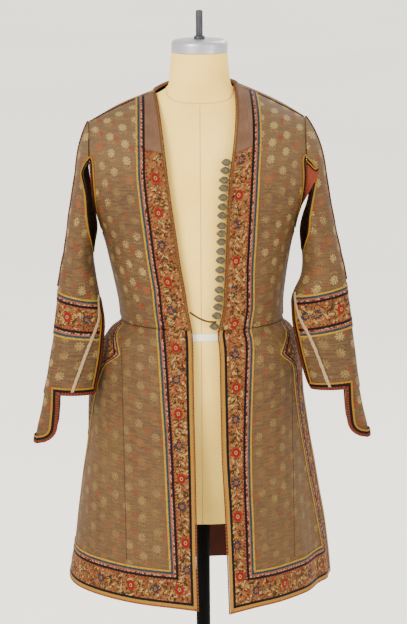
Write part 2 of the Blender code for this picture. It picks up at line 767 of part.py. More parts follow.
def coat_skirt(grids, materials, coat):
    for side in SIDES:
        rows = grids["skirt_front_" + side]
        flip = side == "right"
        columns = len(rows[0]) - 1
        sheet("skirt_front_" + side, rows, materials["brocade"], coat, flip)
        sheet(
            "skirt_border_" + side, rows, materials["border"], coat, flip,
            keep=lambda i, j, n=columns: in_frame(i, j, n), thickness=TRIM_WALL, lift=BAND_LIFT,
        )
    rows = grids["skirt_back"]
    columns = len(rows[0]) - 1
    sheet("skirt_back", rows, materials["brocade"], coat, True)
    sheet(
        "skirt_border_back", rows, materials["border"], coat, True,
        keep=lambda i, j: in_frame(i, j, columns), thickness=TRIM_WALL, lift=BAND_LIFT,
    )


def coat_sleeves(grids, materials, coat):
    band_top = CAP_ROWS + BAND_TOP_RING
    band_bottom = CAP_ROWS + BAND_BOTTOM_RING
    for side in SIDES:
        rows = grids["sleeve_" + side]
        flip = side == "left"
        flap = flap_grid(side)
        whole = (SIDE_COLUMNS, flap, lambda i, j: True)
        none = (SIDE_COLUMNS, flap, lambda i, j: False)
        edge = (SIDE_COLUMNS, flap, lambda i, j: j < 1 or j >= FLAP_COLUMNS - 1 or i >= len(flap) - 2)
        last = len(rows) - 2
        sheet("sleeve_" + side, rows, materials["brocade"], coat, flip, extra=whole)
        sheet(
            "sleeve_band_" + side, rows, materials["border"], coat, flip,
            keep=lambda i, j: band_top <= i < band_bottom and j >= 1,
            thickness=TRIM_WALL, lift=BAND_LIFT, extra=none,
        )
        sheet(
            "cuff_edging_" + side, rows, materials["edging"], coat, flip,
            keep=lambda i, j: (i == last and not SIDE_COLUMNS < j < SIDE_COLUMNS + FLAP_COLUMNS - 1)
            or (j < 1 and i > band_bottom),
            thickness=TRIM_WALL, lift=BAND_LIFT, extra=edge,
        )


def sleeve_tapes(materials, coat):
    """A narrow cream ribbon down the front of each forearm, over the band."""
    lift = BAND_LIFT + TRIM_WALL + TAPE_CLEAR
    for side in SIDES:
        stations = SLEEVE_TAPE[side]
        rows = []
        for k in range(TAPE_STEPS + 1):
            z = stations[0].z + (stations[-1].z - stations[0].z) * k / TAPE_STEPS
            turn = read(stations, "z", z, "turn")
            ring = ring_at(side, z)
            middle = ring_point(side, ring, turn, lift)
            outer, inner = (ring_point(side, ring, turn + step, lift) for step in (-2, 2))
            across = (outer - inner).normalized() * TAPE_WIDTH / 2
            rows.append([middle - across, middle + across])
        sheet("sleeve_tape_" + side, rows, materials["cream"], coat, side == "left", thickness=TRIM_WALL)


def edge_pipings(grids, materials, coat):
    """The corded edge of each front, neck to hem, just outside the cloth's edge."""
    for side in SIDES:
        sign = SIDES[side]
        panels = ("skirt_front_" + side, "bodice_front_" + side)
        line = [row[0] for panel in panels for row in grids[panel]]
        aside = Vector((-sign * (PIPING_RADIUS + GAP), 0.0, 0.0))
        route = []
        for k, point in enumerate(line):
            along = line[min(k + 1, len(line) - 1)] - line[max(k - 1, 0)]
            out = Vector((0.0, -along.z, along.y)).normalized()
            route.append(point + aside + out * 2 * GAP)
        tube("front_piping_" + side, route, PIPING_RADIUS, materials["piping"], coat)


def overarm_pipings(grids, materials, coat):
    """The corded seam over the shoulder and down the outer line of each sleeve."""
    lift = WALL / 2 + GAP + PIPING_RADIUS
    for side in SIDES:
        rows = grids["sleeve_" + side]
        column = SIDE_COLUMNS + FLAP_COLUMNS // 2
        mesh, _ = cells_mesh(rows, lambda i, j: True, side == "left")
        mesh.verts.ensure_lookup_table()
        width = len(rows[0])
        route = []
        for i in range(CAP_ROWS + BAND_TOP_RING):
            vert = mesh.verts[i * width + column]
            route.append(vert.co + vert.normal * lift)
        mesh.free()
        route = smooth_curve(route, PIPING_STEPS)
        tube("overarm_piping_" + side, route, PIPING_RADIUS, materials["piping"], coat)


def button_shape(name):
    """A knot button: an egg lying along X, drawn to a point at its free end."""
    mesh = bmesh.new()
    bmesh.ops.create_uvsphere(mesh, u_segments=8, v_segments=6, radius=0.5)
    for vert in mesh.verts:
        x, y, z = vert.co
        along = -z
        taper = 1.0 - BUTTON_TAPER * max(0.0, -2 * along) ** 2
        size = (along * BUTTON_LENGTH, y * BUTTON_DEPTH * taper, x * BUTTON_HEIGHT * taper)
        vert.co = Vector(size)
    data = bpy.data.meshes.new(name)
    mesh.to_mesh(data)
    mesh.free()
    for polygon in data.polygons:
        polygon.use_smooth = True
    return data


def front_edge_at(grids, side, z):
    line = [row[0] for row in grids["bodice_front_" + side]]
    for low, high in zip(line, line[1:]):
        if low.z <= z <= high.z:
            return low.lerp(high, (z - low.z) / (high.z - low.z))
    return line[0]


def buttons(grids, materials, coat):
    """The row of knots sewn to the left front's edge."""
    centres = []
    reach = BUTTON_LENGTH / 2 + 2 * PIPING_RADIUS + 2 * GAP
    for k, drop in enumerate(BUTTON_DROPS):
        edge = front_edge_at(grids, "left", BUTTON_TOP_Z - drop)
        centre = edge + Vector((-reach, -BUTTON_FORWARD, 0.0))
        name = f"button_{k + 1:02d}"
        thing = add_object(name, button_shape(name), materials["button"], coat)
        thing.location = centre
        centres.append(centre)
    return centres


def loop_cord(grids, centres, materials, coat):
    """The closing loop from the right front's waist to between the two lowest buttons."""
    clear = 2 * PIPING_RADIUS + 2 * GAP + CORD_DIAMETER / 2
    start = front_edge_at(grids, "right", CORD_START_Z) + Vector((clear, 0.0, 0.0))
    before = (BUTTON_DEPTH + CORD_DIAMETER) / 2 + GAP
    end = centres[-2] + Vector((0.0, -before, -CORD_END_DROP))
    sag = Vector((0.0, -CORD_FORWARD, -CORD_SAG))
    chosen = [start, start.lerp(end, 0.35) + sag, start.lerp(end, 0.7) + sag, end]
    route = smooth_curve(chosen, CORD_STEPS)
    tube("button_loop", route, CORD_DIAMETER / 2, materials["cord"], coat, resolution=2)


def form_radius(angle, z):
    """The form's outline at a height, before the coat limits it."""
    half_width = read(FORM, "z", z, "half_width")
    depth = -read(FORM, "z", z, "front_y") if math.sin(angle) < 0 else read(FORM, "z", z, "back_y")
    return Vector((half_width * math.cos(angle), depth * math.sin(angle), z))


def form_rings(grids):
    """Rings of the form, kept clear inside the coat's shoulders and chest."""
    points, faces = [], []
    for name in ("bodice_front_right", "bodice_front_left", "bodice_back"):
        rows = grids[name]
        start, width = len(points), len(rows[0])
        points += [point for row in rows for point in row]
        for i in range(len(rows) - 1):
            for j in range(width - 1):
                corner = start + i * width + j
                faces.append((corner, corner + 1, corner + width + 1, corner + width))
    coat = BVHTree.FromPolygons(points, faces)
    clear = WALL / 2 + 2 * GAP
    rings = []
    for z in FORM_LEVELS:
        ring = []
        for k in range(FORM_SEGMENTS):
            point = form_radius(2 * math.pi * k / FORM_SEGMENTS, z)
            centre = Vector((0.0, 0.0, z))
            way = (point - centre).normalized()
            reach = (point - centre).length
            hit, normal, _, distance = coat.ray_cast(centre, way)
            if hit:
                reach = min(reach, distance - clear / max(abs(normal.dot(way)), 0.15))
            near = coat.find_nearest(centre + way * reach)[3]
            while near < clear:
                reach -= clear - near + GAP / 2
                near = coat.find_nearest(centre + way * reach)[3]
            ring.append(centre + way * reach)
        rings.append(ring)
    return rings


def loft(name, rings, material, collection):
    """A closed solid through rings of equal count, with flat ends."""
    mesh = bmesh.new()
    loops = [[mesh.verts.new(point) for point in ring] for ring in rings]
    count = len(loops[0])
    for lower, upper in zip(loops, loops[1:]):
        for k in range(count):
            mesh.faces.new((lower[k], lower[(k + 1) % count], upper[(k + 1) % count], upper[k]))
    mesh.faces.new(loops[0][::-1])
    mesh.faces.new(loops[-1])
    data = bpy.data.meshes.new(name)
    mesh.to_mesh(data)
    mesh.free()
    for polygon in data.polygons:
        polygon.use_smooth = True
    data.set_sharp_from_angle(angle=math.radians(40))
    return add_object(name, data, material, collection)


def turned(name, profile, bottom, material, collection, steps=32):
    """A closed solid turned round the upright axis, its profile standing on a height."""
    data = bpy.data.meshes.new(name)
    points = [(radius, 0.0, bottom + z) for radius, z in profile]
    data.from_pydata(points, [(k, k + 1) for k in range(len(profile) - 1)], [])
    thing = add_object(name, data, material, collection)
    screw = thing.modifiers.new("turn", "SCREW")
    screw.steps = steps
    screw.render_steps = steps
    screw.use_merge_vertices = True
    screw.merge_threshold = 0.00001
    screw.use_smooth_shade = True
    return thing


def dress_form(grids, materials, form):
    rings = form_rings(grids)
    loft("form_torso", rings, materials["canvas"], form)
    bottom = NECK_TOP_Z + GAP
    turned("form_neck_cap", CAP_PROFILE, bottom, materials["metal"], form, steps=28)
    bottom += CAP_PROFILE[0][1] + GAP
    turned("form_top_rod", ROD_PROFILE, bottom, materials["dark_metal"], form, steps=16)
    low, high = (rings[level] for level in TAPE_LEVELS)
    behind = FORM_SEGMENTS // 4
    tape = []
    for part in (0.1, 0.9):
        ring = [a.lerp(b, part) for a, b in zip(low, high)]
        tape.append(ring[behind:] + ring[:behind])
    sheet(
        "form_waist_tape", tape, materials["tape"], form, False,
        thickness=TRIM_WALL, lift=TRIM_WALL / 2 + GAP,
    )


def stand(materials, form):
    bottom = BASE_HEIGHT + GAP
    height = FORM_BOTTOM_Z - GAP - bottom
    pole = [(0.0, height), (POLE_RADIUS, height), (POLE_RADIUS, 0.0), (0.0, 0.0)]
    turned("stand_pole", pole, bottom, materials["black"], form, steps=24)
    turned("stand_base", BASE_PROFILE, 0.0, materials["black"], form, steps=36)


def main():
    clear_scene()
    coat = bpy.data.collections.new("coat")
    form = bpy.data.collections.new("dress_form")
    for collection in (coat, form):
        bpy.context.scene.collection.children.link(collection)
    materials = {
        "brocade": make_material("brocade", (0.200, 0.135, 0.088), 0.62),
        "border": make_material("floral_border", (0.440, 0.200, 0.105), 0.66),
        "facing": make_material("plain_facing", (0.215, 0.150, 0.115), 0.60),
        "edging": make_material("black_and_yellow_edging", (0.075, 0.050, 0.030), 0.64),
        "piping": make_material("orange_piping", (0.420, 0.145, 0.050), 0.60),
        "cream": make_material("cream_tape", (0.640, 0.490, 0.300), 0.72),
        "button": make_material("knot_button", (0.085, 0.090, 0.068), 0.48, 0.25),
        "cord": make_material("loop_cord", (0.075, 0.040, 0.025), 0.70),
        "canvas": make_material("form_canvas", (0.720, 0.590, 0.380), 0.78),
        "metal": make_material("neck_cap_metal", (0.420, 0.420, 0.430), 0.34, 0.85),
        "dark_metal": make_material("top_rod_metal", (0.060, 0.060, 0.065), 0.38, 0.70),
        "tape": make_material("waist_tape", (0.800, 0.760, 0.680), 0.80),
        "black": make_material("stand_enamel", (0.018, 0.018, 0.020), 0.40),
    }
    grids = {
        "skirt_back": skirt_back_grid(),
        "bodice_back": bodice_back_grid(),
    }
    for side in SIDES:
        grids["skirt_front_" + side] = skirt_front_grid(side)
        grids["bodice_front_" + side] = bodice_front_grid(side)
    for side in SIDES:
        grids["sleeve_" + side] = sleeve_grid(side, grids)
    coat_bodice(grids, materials, coat)
    coat_skirt(grids, materials, coat)
    coat_sleeves(grids, materials, coat)
    sleeve_tapes(materials, coat)
    edge_pipings(grids, materials, coat)
    overarm_pipings(grids, materials, coat)
    centres = buttons(grids, materials, coat)
    loop_cord(grids, centres, materials, coat)
    dress_form(grids, materials, form)
    stand(materials, form)


main()
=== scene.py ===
"""The long brocade coat on its dress form, with the finer forms, trims and finishes.

The cloth follows the same tables as the solids, on finer grids, with creases,
braids, embroidery, knots and pipings laid on it. Metres, +Z up, fronts face -Y.
"""

import json
import math
import random
from collections import namedtuple

import bmesh
import bpy
import numpy as np
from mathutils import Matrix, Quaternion, Vector
from mathutils.bvhtree import BVHTree

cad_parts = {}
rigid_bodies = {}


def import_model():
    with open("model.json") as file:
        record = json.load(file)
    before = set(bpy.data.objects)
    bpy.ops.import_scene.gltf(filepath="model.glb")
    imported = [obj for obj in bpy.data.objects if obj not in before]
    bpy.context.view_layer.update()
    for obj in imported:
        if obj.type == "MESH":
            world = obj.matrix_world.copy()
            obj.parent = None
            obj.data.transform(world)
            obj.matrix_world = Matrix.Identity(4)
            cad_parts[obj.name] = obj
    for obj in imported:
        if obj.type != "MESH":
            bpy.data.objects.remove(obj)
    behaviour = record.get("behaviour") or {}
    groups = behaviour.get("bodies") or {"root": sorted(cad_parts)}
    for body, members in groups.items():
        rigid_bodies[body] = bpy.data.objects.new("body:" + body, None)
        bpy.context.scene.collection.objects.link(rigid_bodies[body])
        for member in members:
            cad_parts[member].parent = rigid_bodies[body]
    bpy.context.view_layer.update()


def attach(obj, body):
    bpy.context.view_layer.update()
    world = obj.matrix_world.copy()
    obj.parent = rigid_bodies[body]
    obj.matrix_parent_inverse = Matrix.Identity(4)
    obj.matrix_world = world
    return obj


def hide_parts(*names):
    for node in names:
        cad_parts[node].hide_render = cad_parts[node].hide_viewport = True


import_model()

# Camera, from the photograph's own angle
CAMERA_DISTANCE = 5.0
CAMERA_PITCH = math.radians(11.0)
CAMERA_ROLL = math.radians(0.4)
CAMERA_TARGET = Vector((0.0040, 0.0, 0.950))
LENS_MM = 160.26
SENSOR_MM = 36.0

# Cloth
WALL = 0.0020
GAP = 0.0003
SEAM = 0.0006
SLIT = 0.0040
PANEL_WALL = 0.0014

HEM_Z = 0.455
WAIST_Z = 0.940
UNDERARM_Z = 1.104
CHEST_Z = 1.210
ARMHOLE_ROWS = 4
YOKE_ROWS = 7
NECK_COLUMNS = 4
BACK_COLUMNS = 9

# Dress form and stand
FORM_BOTTOM_Z = 0.584
NECK_TOP_Z = 1.4185
POLE_RADIUS = 0.0127
BASE_HEIGHT = 0.016

# Pipings, buttons and cord. Each button hangs its own drop below the top one.
PIPING_RADIUS = 0.0012
BUTTON_TOP_Z = 1.2385
BUTTON_LENGTH = 0.0172
BUTTON_HEIGHT = 0.0130
BUTTON_DEPTH = 0.0120
BUTTON_TAPER = 0.45
BUTTON_FORWARD = 0.0010
BUTTON_DROPS = [
    0.0000, 0.0141, 0.0308, 0.0446, 0.0610, 0.0774, 0.0924, 0.1106, 0.1248, 0.1394,
    0.1566, 0.1728, 0.1904, 0.2068, 0.2264, 0.2421, 0.2571, 0.2728, 0.2918,
]
CORD_DIAMETER = 0.0028
CORD_STEPS = 16
CORD_START_Z = 0.972
CORD_SAG = 0.0040
CORD_FORWARD = 0.0040
CORD_END_DROP = 0.0095

SIDES = {"right": -1.0, "left": 1.0}

# One row a level: half widths to the side seam and to the front edge of each
# half, the depth of the front, of each side seam and of the back, and how far
# the front turns from its edge to the side seam, in degrees.
Level = namedtuple(
    "Level",
    "z right_out left_out right_edge left_edge front_y right_side_y left_side_y back_y "
    "right_turn left_turn",
)

SKIRT = [
    Level(0.4550, 0.2255, 0.2340, 0.0103, 0.0478, -0.200, 0.062, 0.040, 0.138, 112, 60),
    Level(0.5340, 0.2178, 0.2260, 0.0123, 0.0450, -0.186, 0.058, 0.036, 0.134, 110, 63),
    Level(0.6270, 0.2110, 0.2105, 0.0133, 0.0415, -0.170, 0.050, 0.028, 0.130, 106, 67),
    Level(0.7150, 0.2025, 0.1955, 0.0145, 0.0370, -0.155, 0.038, 0.018, 0.126, 101, 73),
    Level(0.7965, 0.2026, 0.1835, 0.0160, 0.0355, -0.139, 0.018, 0.008, 0.121, 92, 79),
    Level(0.8500, 0.1945, 0.1795, 0.0165, 0.0347, -0.130, 0.006, 0.002, 0.117, 86, 83),
    Level(0.8780, 0.1855, 0.1755, 0.0167, 0.0345, -0.126, 0.000, 0.000, 0.112, 86, 86),
    Level(0.9060, 0.1727, 0.1690, 0.0168, 0.0337, -0.121, 0.000, 0.000, 0.107, 88, 88),
    Level(0.9250, 0.1585, 0.1590, 0.0175, 0.0315, -0.118, 0.000, 0.000, 0.102, 90, 90),
    Level(0.9350, 0.1435, 0.1455, 0.0185, 0.0305, -0.116, 0.000, 0.000, 0.099, 90, 90),
    Level(0.9400, 0.1430, 0.1452, 0.0187, 0.0320, -0.116, 0.000, 0.000, 0.099, 90, 90),
]

BODICE = [
    Level(0.9400, 0.1430, 0.1452, 0.0187, 0.0320, -0.116, 0.000, 0.000, 0.099, 90, 90),
    Level(0.9730, 0.1460, 0.1455, 0.0250, 0.0405, -0.115, 0.000, 0.000, 0.098, 90, 90),
    Level(1.0100, 0.1535, 0.1495, 0.0300, 0.0430, -0.117, 0.000, 0.000, 0.100, 90, 90),
    Level(1.0450, 0.1612, 0.1545, 0.0360, 0.0448, -0.120, 0.000, 0.000, 0.104, 90, 90),
    Level(1.0800, 0.1690, 0.1610, 0.0410, 0.0463, -0.124, 0.000, 0.000, 0.109, 90, 90),
    Level(1.1040, 0.1765, 0.1680, 0.0440, 0.0472, -0.127, 0.000, 0.000, 0.112, 90, 90),
    Level(1.1500, 0.1860, 0.1760, 0.0505, 0.0490, -0.130, 0.000, 0.000, 0.116, 90, 90),
    Level(1.2100, 0.1930, 0.1840, 0.0585, 0.0525, -0.126, 0.000, 0.000, 0.114, 90, 90),
]

# How far the front corners of the hem hang below it.
CORNER_DIP = {"right": 0.0040, "left": 0.0100}
CORNER_REACH = 0.070

# How far the hem rises towards each side slit, and the height over which it does.
SIDE_LIFT = {"right": 0.0240, "left": 0.0}
LIFT_REACH = 0.350

# Armhole edge from the underarm up to the top of the open slit.
Armhole = namedtuple("Armhole", "part z right_x left_x front_y back_y turn")
ARMHOLE = [
    Armhole(0.00, 1.104, 0.1765, 0.1680, 0.000, 0.000, 90),
    Armhole(0.25, 1.133, 0.1830, 0.1735, -0.027, 0.026, 78),
    Armhole(0.50, 1.166, 0.1890, 0.1820, -0.0455, 0.043, 66),
    Armhole(0.75, 1.200, 0.1925, 0.1870, -0.0535, 0.050, 56),
    Armhole(1.00, 1.232, 0.1940, 0.1860, -0.0560, 0.051, 48),
]

# Shoulder seam ends: at the neck and at the tip.
Shoulder = namedtuple("Shoulder", "neck_x neck_z tip_x tip_z edge_bow")
SHOULDER = {
    "right": Shoulder(0.0800, 1.3485, 0.1962, 1.2960, 0.0000),
    "left": Shoulder(0.0620, 1.3600, 0.1850, 1.3020, 0.0070),
}
SHOULDER_Y = -0.012
SHOULDER_BOW = 0.004
BACK_NECK_Y = 0.064
BACK_NECK_Z = 1.3660
FRONT_YOKE_TURN = math.radians(80)
BACK_YOKE_TURN = math.radians(100)

# Soft folds of the skirt: where along the row, half width along the row, how
# far the cloth moves out at the hem, and the height at which the fold has gone.
Fold = namedtuple("Fold", "panel place width depth top_z")
FOLDS = [
    Fold("skirt_front_right", 0.62, 0.16, 0.0045, 0.80),
    Fold("skirt_front_right", 0.88, 0.10, -0.0035, 0.74),
    Fold("skirt_front_left", 0.56, 0.17, 0.0040, 0.78),
    Fold("skirt_front_left", 0.84, 0.10, 0.0060, 0.72),
    Fold("skirt_back", 0.24, 0.09, 0.0080, 0.84),
    Fold("skirt_back", 0.42, 0.08, -0.0060, 0.80),
    Fold("skirt_back", 0.60, 0.09, 0.0070, 0.86),
    Fold("skirt_back", 0.80, 0.08, -0.0050, 0.78),
]

# Sleeve rings, top down. outer and inner are half widths from the coat's
# middle, tilt is the rise towards the outer side, and the two angles say how
# far round from the outer side the cloth reaches at the front and at the back.
Ring = namedtuple("Ring", "z outer inner depth y tilt front_turn back_turn")
SLEEVE = {
    "right": [
        Ring(1.2080, 0.2215, 0.1640, 0.0520, -0.004, 0.00, 62, 74),
        Ring(1.1740, 0.2262, 0.1700, 0.0540, -0.006, 0.00, 88, 92),
        Ring(1.1390, 0.2320, 0.1760, 0.0540, -0.010, 0.00, 103, 112),
        Ring(1.1030, 0.2375, 0.1833, 0.0530, -0.014, 0.02, 124, 150),
        Ring(1.0650, 0.2427, 0.1923, 0.0510, -0.020, 0.08, 166, 173),
        Ring(1.0300, 0.2488, 0.1874, 0.0480, -0.028, 0.15, 174, 174),
        Ring(0.9925, 0.2540, 0.1810, 0.0430, -0.037, 0.22, 172, 174),
        Ring(0.9560, 0.2577, 0.1750, 0.0385, -0.044, 0.16, 168, 174),
        Ring(0.9180, 0.2631, 0.1760, 0.0360, -0.051, 0.10, 165, 174),
        Ring(0.8720, 0.2713, 0.1810, 0.0340, -0.058, 0.05, 164, 174),
        Ring(0.8320, 0.2792, 0.1893, 0.0330, -0.064, 0.03, 164, 174),
        Ring(0.8195, 0.2818, 0.1915, 0.0328, -0.066, 0.03, 164, 174),
    ],
    "left": [
        Ring(1.2060, 0.2225, 0.1600, 0.0520, -0.004, 0.00, 70, 78),
        Ring(1.1710, 0.2268, 0.1620, 0.0540, -0.006, 0.00, 88, 86),
        Ring(1.1360, 0.2330, 0.1660, 0.0540, -0.010, 0.00, 106, 106),
        Ring(1.1000, 0.2400, 0.1736, 0.0530, -0.014, 0.03, 124, 145),
        Ring(1.0610, 0.2479, 0.1814, 0.0510, -0.020, 0.08, 166, 173),
        Ring(1.0260, 0.2549, 0.1776, 0.0470, -0.028, 0.14, 174, 174),
        Ring(0.9988, 0.2585, 0.1645, 0.0420, -0.036, 0.20, 172, 174),
        Ring(0.9600, 0.2635, 0.1636, 0.0370, -0.044, 0.19, 168, 174),
        Ring(0.9232, 0.2686, 0.1691, 0.0340, -0.051, 0.18, 165, 174),
        Ring(0.8720, 0.2752, 0.1799, 0.0325, -0.058, 0.10, 164, 174),
        Ring(0.8390, 0.2800, 0.1890, 0.0315, -0.063, 0.06, 164, 174),
        Ring(0.8265, 0.2815, 0.1950, 0.0315, -0.066, 0.04, 164, 174),
    ],
}
BAND_TOP_RING = 6
BAND_BOTTOM_RING = 8
CAP_OUT = 0.0016
CAP_TURN = math.radians(80)
CAP_EVEN_DROP = 0.45

# Cuff flap: drop below the cuff, how far out its outer line leans, and its
# half turn round the ring.
Flap = namedtuple("Flap", "drop lean turn")
CUFF_FLAP = [
    Flap(0.000, 0.0000, 68),
    Flap(0.022, 0.0043, 73),
    Flap(0.044, 0.0090, 77),
    Flap(0.064, 0.0135, 79),
    Flap(0.077, 0.0160, 72),
    Flap(0.086, 0.0174, 56),
    Flap(0.091, 0.0180, 32),
]

# Cream tape down the front of each forearm: height and turn from the outer side.
Tape = namedtuple("Tape", "z turn")
SLEEVE_TAPE = {
    "right": [Tape(1.000, 158), Tape(0.955, 140), Tape(0.918, 121), Tape(0.872, 106),
              Tape(0.826, 97)],
    "left": [Tape(1.004, 158), Tape(0.960, 138), Tape(0.923, 120), Tape(0.872, 108),
             Tape(0.832, 101)],
}

# Dress form sections, before the coat's shoulders limit them.
Section = namedtuple("Section", "z half_width front_y back_y")
FORM = [
    Section(0.5840, 0.1650, -0.107, 0.091),
    Section(0.6000, 0.1690, -0.110, 0.095),
    Section(0.6600, 0.1720, -0.112, 0.102),
    Section(0.7400, 0.1680, -0.112, 0.105),
    Section(0.8200, 0.1550, -0.109, 0.101),
    Section(0.8900, 0.1370, -0.105, 0.091),
    Section(0.9450, 0.1290, -0.103, 0.084),
    Section(1.0100, 0.1360, -0.106, 0.087),
    Section(1.0800, 0.1490, -0.113, 0.096),
    Section(1.1500, 0.1630, -0.119, 0.104),
    Section(1.2100, 0.1720, -0.116, 0.104),
    Section(1.2500, 0.1765, -0.107, 0.100),
    Section(1.2850, 0.1830, -0.093, 0.092),
    Section(1.3000, 0.1800, -0.083, 0.086),
    Section(1.3120, 0.1700, -0.075, 0.079),
    Section(1.3230, 0.1450, -0.066, 0.072),
    Section(1.3340, 0.1160, -0.057, 0.066),
    Section(1.3440, 0.0800, -0.0530, 0.0600),
    Section(1.3520, 0.0640, -0.0525, 0.0565),
    Section(1.3600, 0.0560, -0.0520, 0.054),
    Section(1.3800, 0.0530, -0.0515, 0.0525),
    Section(1.4000, 0.0512, -0.0505, 0.051),
    Section(1.4185, 0.0497, -0.0497, 0.0497),
]

# Turned parts, each from its axis outwards and down: radius and height, where
# the heights of the cap and the rod are above their own lower end.
CAP_PROFILE = [
    (0.0, 0.0227), (0.0120, 0.0227), (0.0440, 0.0217), (0.0480, 0.0192),
    (0.0497, 0.0157), (0.0497, 0.0), (0.0, 0.0),
]
ROD_PROFILE = [
    (0.0, 0.0507), (0.0047, 0.0507), (0.0062, 0.0487), (0.0062, 0.0060),
    (0.0095, 0.0050), (0.0100, 0.0), (0.0, 0.0),
]
BASE_PROFILE = [
    (0.0, BASE_HEIGHT), (0.0350, BASE_HEIGHT), (0.1650, 0.0125), (0.1920, 0.0105),
    (0.2000, 0.0060), (0.2000, 0.0), (0.0, 0.0),
]


def read(rows, key, at, column):
    """A column of a table, smoothly between its rows."""
    keys = [getattr(row, key) for row in rows]
    values = [getattr(row, column) for row in rows]
    last = len(rows) - 1
    rising = keys[-1] > keys[0]
    k = 0
    while k < last - 1 and ((at > keys[k + 1]) if rising else (at < keys[k + 1])):
        k += 1
    span = keys[k + 1] - keys[k]
    t = min(max((at - keys[k]) / span, 0.0), 1.0)

    def slope(i):
        low, high = max(i - 1, 0), min(i + 1, last)
        return (values[high] - values[low]) / (keys[high] - keys[low])

    start, end = slope(k) * span, slope(k + 1) * span
    return (
        values[k] * (2 * t**3 - 3 * t**2 + 1)
        + start * (t**3 - 2 * t**2 + t)
        + values[k + 1] * (3 * t**2 - 2 * t**3)
        + end * (t**3 - t**2)
    )


def turning_row(inner, outer, turn, count=64):
    """Points from inner to outer on an arc that turns away from -Y or +Y by turn degrees."""
    angle = math.radians(turn)
    points = []
    for i in range(count + 1):
        s = i / count
        along = math.sin(s * angle) / math.sin(angle)
        back = (1 - math.cos(s * angle)) / (1 - math.cos(angle))
        points.append(
            Vector((
                inner.x + (outer.x - inner.x) * along,
                inner.y + (outer.y - inner.y) * back,
                inner.z + (outer.z - inner.z) * s,
            ))
        )
    return points


def row_length(points):
    return sum((b - a).length for a, b in zip(points, points[1:]))


def at_distances(points, distances):
    """Points of a fine row at given lengths from its start."""
    found = []
    k, passed = 0, 0.0
    for distance in distances:
        while k < len(points) - 2 and passed + (points[k + 1] - points[k]).length < distance:
            passed += (points[k + 1] - points[k]).length
            k += 1
        step = (points[k + 1] - points[k]).length
        found.append(points[k].lerp(points[k + 1], min(max((distance - passed) / step, 0.0), 1.0)))
    return found


def level_ends(rows, side, z, gap):
    """Front edge, side seam and back middle of one half at a height."""
    sign = SIDES[side]
    out = sign * read(rows, "z", z, side + "_out")
    edge = sign * read(rows, "z", z, side + "_edge")
    side_y = read(rows, "z", z, side + "_side_y")
    front = Vector((edge, read(rows, "z", z, "front_y"), z))
    back = Vector((0.0, read(rows, "z", z, "back_y"), z))
    return front, Vector((out, side_y - gap / 2, z)), Vector((out, side_y + gap / 2, z)), back


def fold_shift(panel, place, z):
    """How far the soft folds move the cloth out at a place of a panel."""
    shift = 0.0
    for fold in FOLDS:
        if fold.panel == panel and z < fold.top_z:
            reach = (fold.top_z - z) / (fold.top_z - HEM_Z)
            offset = (place - fold.place) / fold.width
            shift += fold.depth * reach**1.3 * math.exp(-2.0 * offset * offset)
    return shift


def folded(panel, row):
    """A skirt row with its folds, each point moved along the row's own horizontal normal."""
    length = row_length(row)
    moved, passed = [], 0.0
    for i, point in enumerate(row):
        before, after = row[max(i - 1, 0)], row[min(i + 1, len(row) - 1)]
        along = (after - before).normalized()
        out = Vector((along.y, -along.x, 0.0))
        if out.dot(Vector((point.x, point.y, 0.0))) < 0:
            out = -out
        passed += (point - row[i - 1]).length if i else 0.0
        moved.append(point + out * fold_shift(panel, passed / length, point.z))
    return moved


def side_lift(side, share, z):
    """How far the cloth is raised at a share of the way from the middle to the side slit."""
    return SIDE_LIFT[side] * max(0.0, 1 - (z - HEM_Z) / LIFT_REACH) * share**1.3


def armhole_ends(side, part, back):
    """Inner and outer end and turn of a row between the underarm and the slit's top."""
    sign = SIDES[side]
    inner_z = UNDERARM_Z + (CHEST_Z - UNDERARM_Z) * part
    front, _, _, middle = level_ends(BODICE, side, inner_z, SEAM)
    y = read(ARMHOLE, "part", part, "back_y" if back else "front_y")
    y += SEAM / 2 if back else -SEAM / 2
    outer = Vector((sign * read(ARMHOLE, "part", part, side + "_x"), y,
                    read(ARMHOLE, "part", part, "z")))
    return (middle if back else front), outer, read(ARMHOLE, "part", part, "turn")


def yoke_point(low, top, part, turn):
    """A point on the arc that climbs from the chest and bends over to the shoulder."""
    climb = math.sin(part * turn) / math.sin(turn)
    bend = (1 - math.cos(part * turn)) / (1 - math.cos(turn))
    return Vector((
        low.x + (top.x - low.x) * part,
        low.y + (top.y - low.y) * bend,
        low.z + (top.z - low.z) * climb,
    ))


def shoulder_line(side, places):
    """Points of the front's shoulder seam, neck to tip, at shares of its length."""
    shoulder, sign = SHOULDER[side], SIDES[side]
    neck = Vector((sign * shoulder.neck_x, SHOULDER_Y - SEAM / 2, shoulder.neck_z))
    tip = Vector((sign * shoulder.tip_x, SHOULDER_Y - SEAM / 2, shoulder.tip_z))
    line = []
    for place in places:
        point = neck.lerp(tip, place)
        point.z += SHOULDER_BOW * math.sin(math.pi * place)
        line.append(point)
    return line


def back_top_half(side, inner_count, outer_count):
    """The back's neckline and shoulder seam, from the middle to the tip."""
    shoulder, sign = SHOULDER[side], SIDES[side]
    line = []
    for k in range(inner_count):
        angle = math.radians(90) * k / inner_count
        line.append(
            Vector((
                sign * shoulder.neck_x * math.sin(angle),
                BACK_NECK_Y + (SHOULDER_Y + SEAM / 2 - BACK_NECK_Y) * (1 - math.cos(angle)),
                BACK_NECK_Z + (shoulder.neck_z - BACK_NECK_Z) * math.sin(angle) ** 2,
            ))
        )
    for point in shoulder_line(side, [k / outer_count for k in range(outer_count + 1)]):
        line.append(point + Vector((0.0, SEAM, 0.0)))
    return line


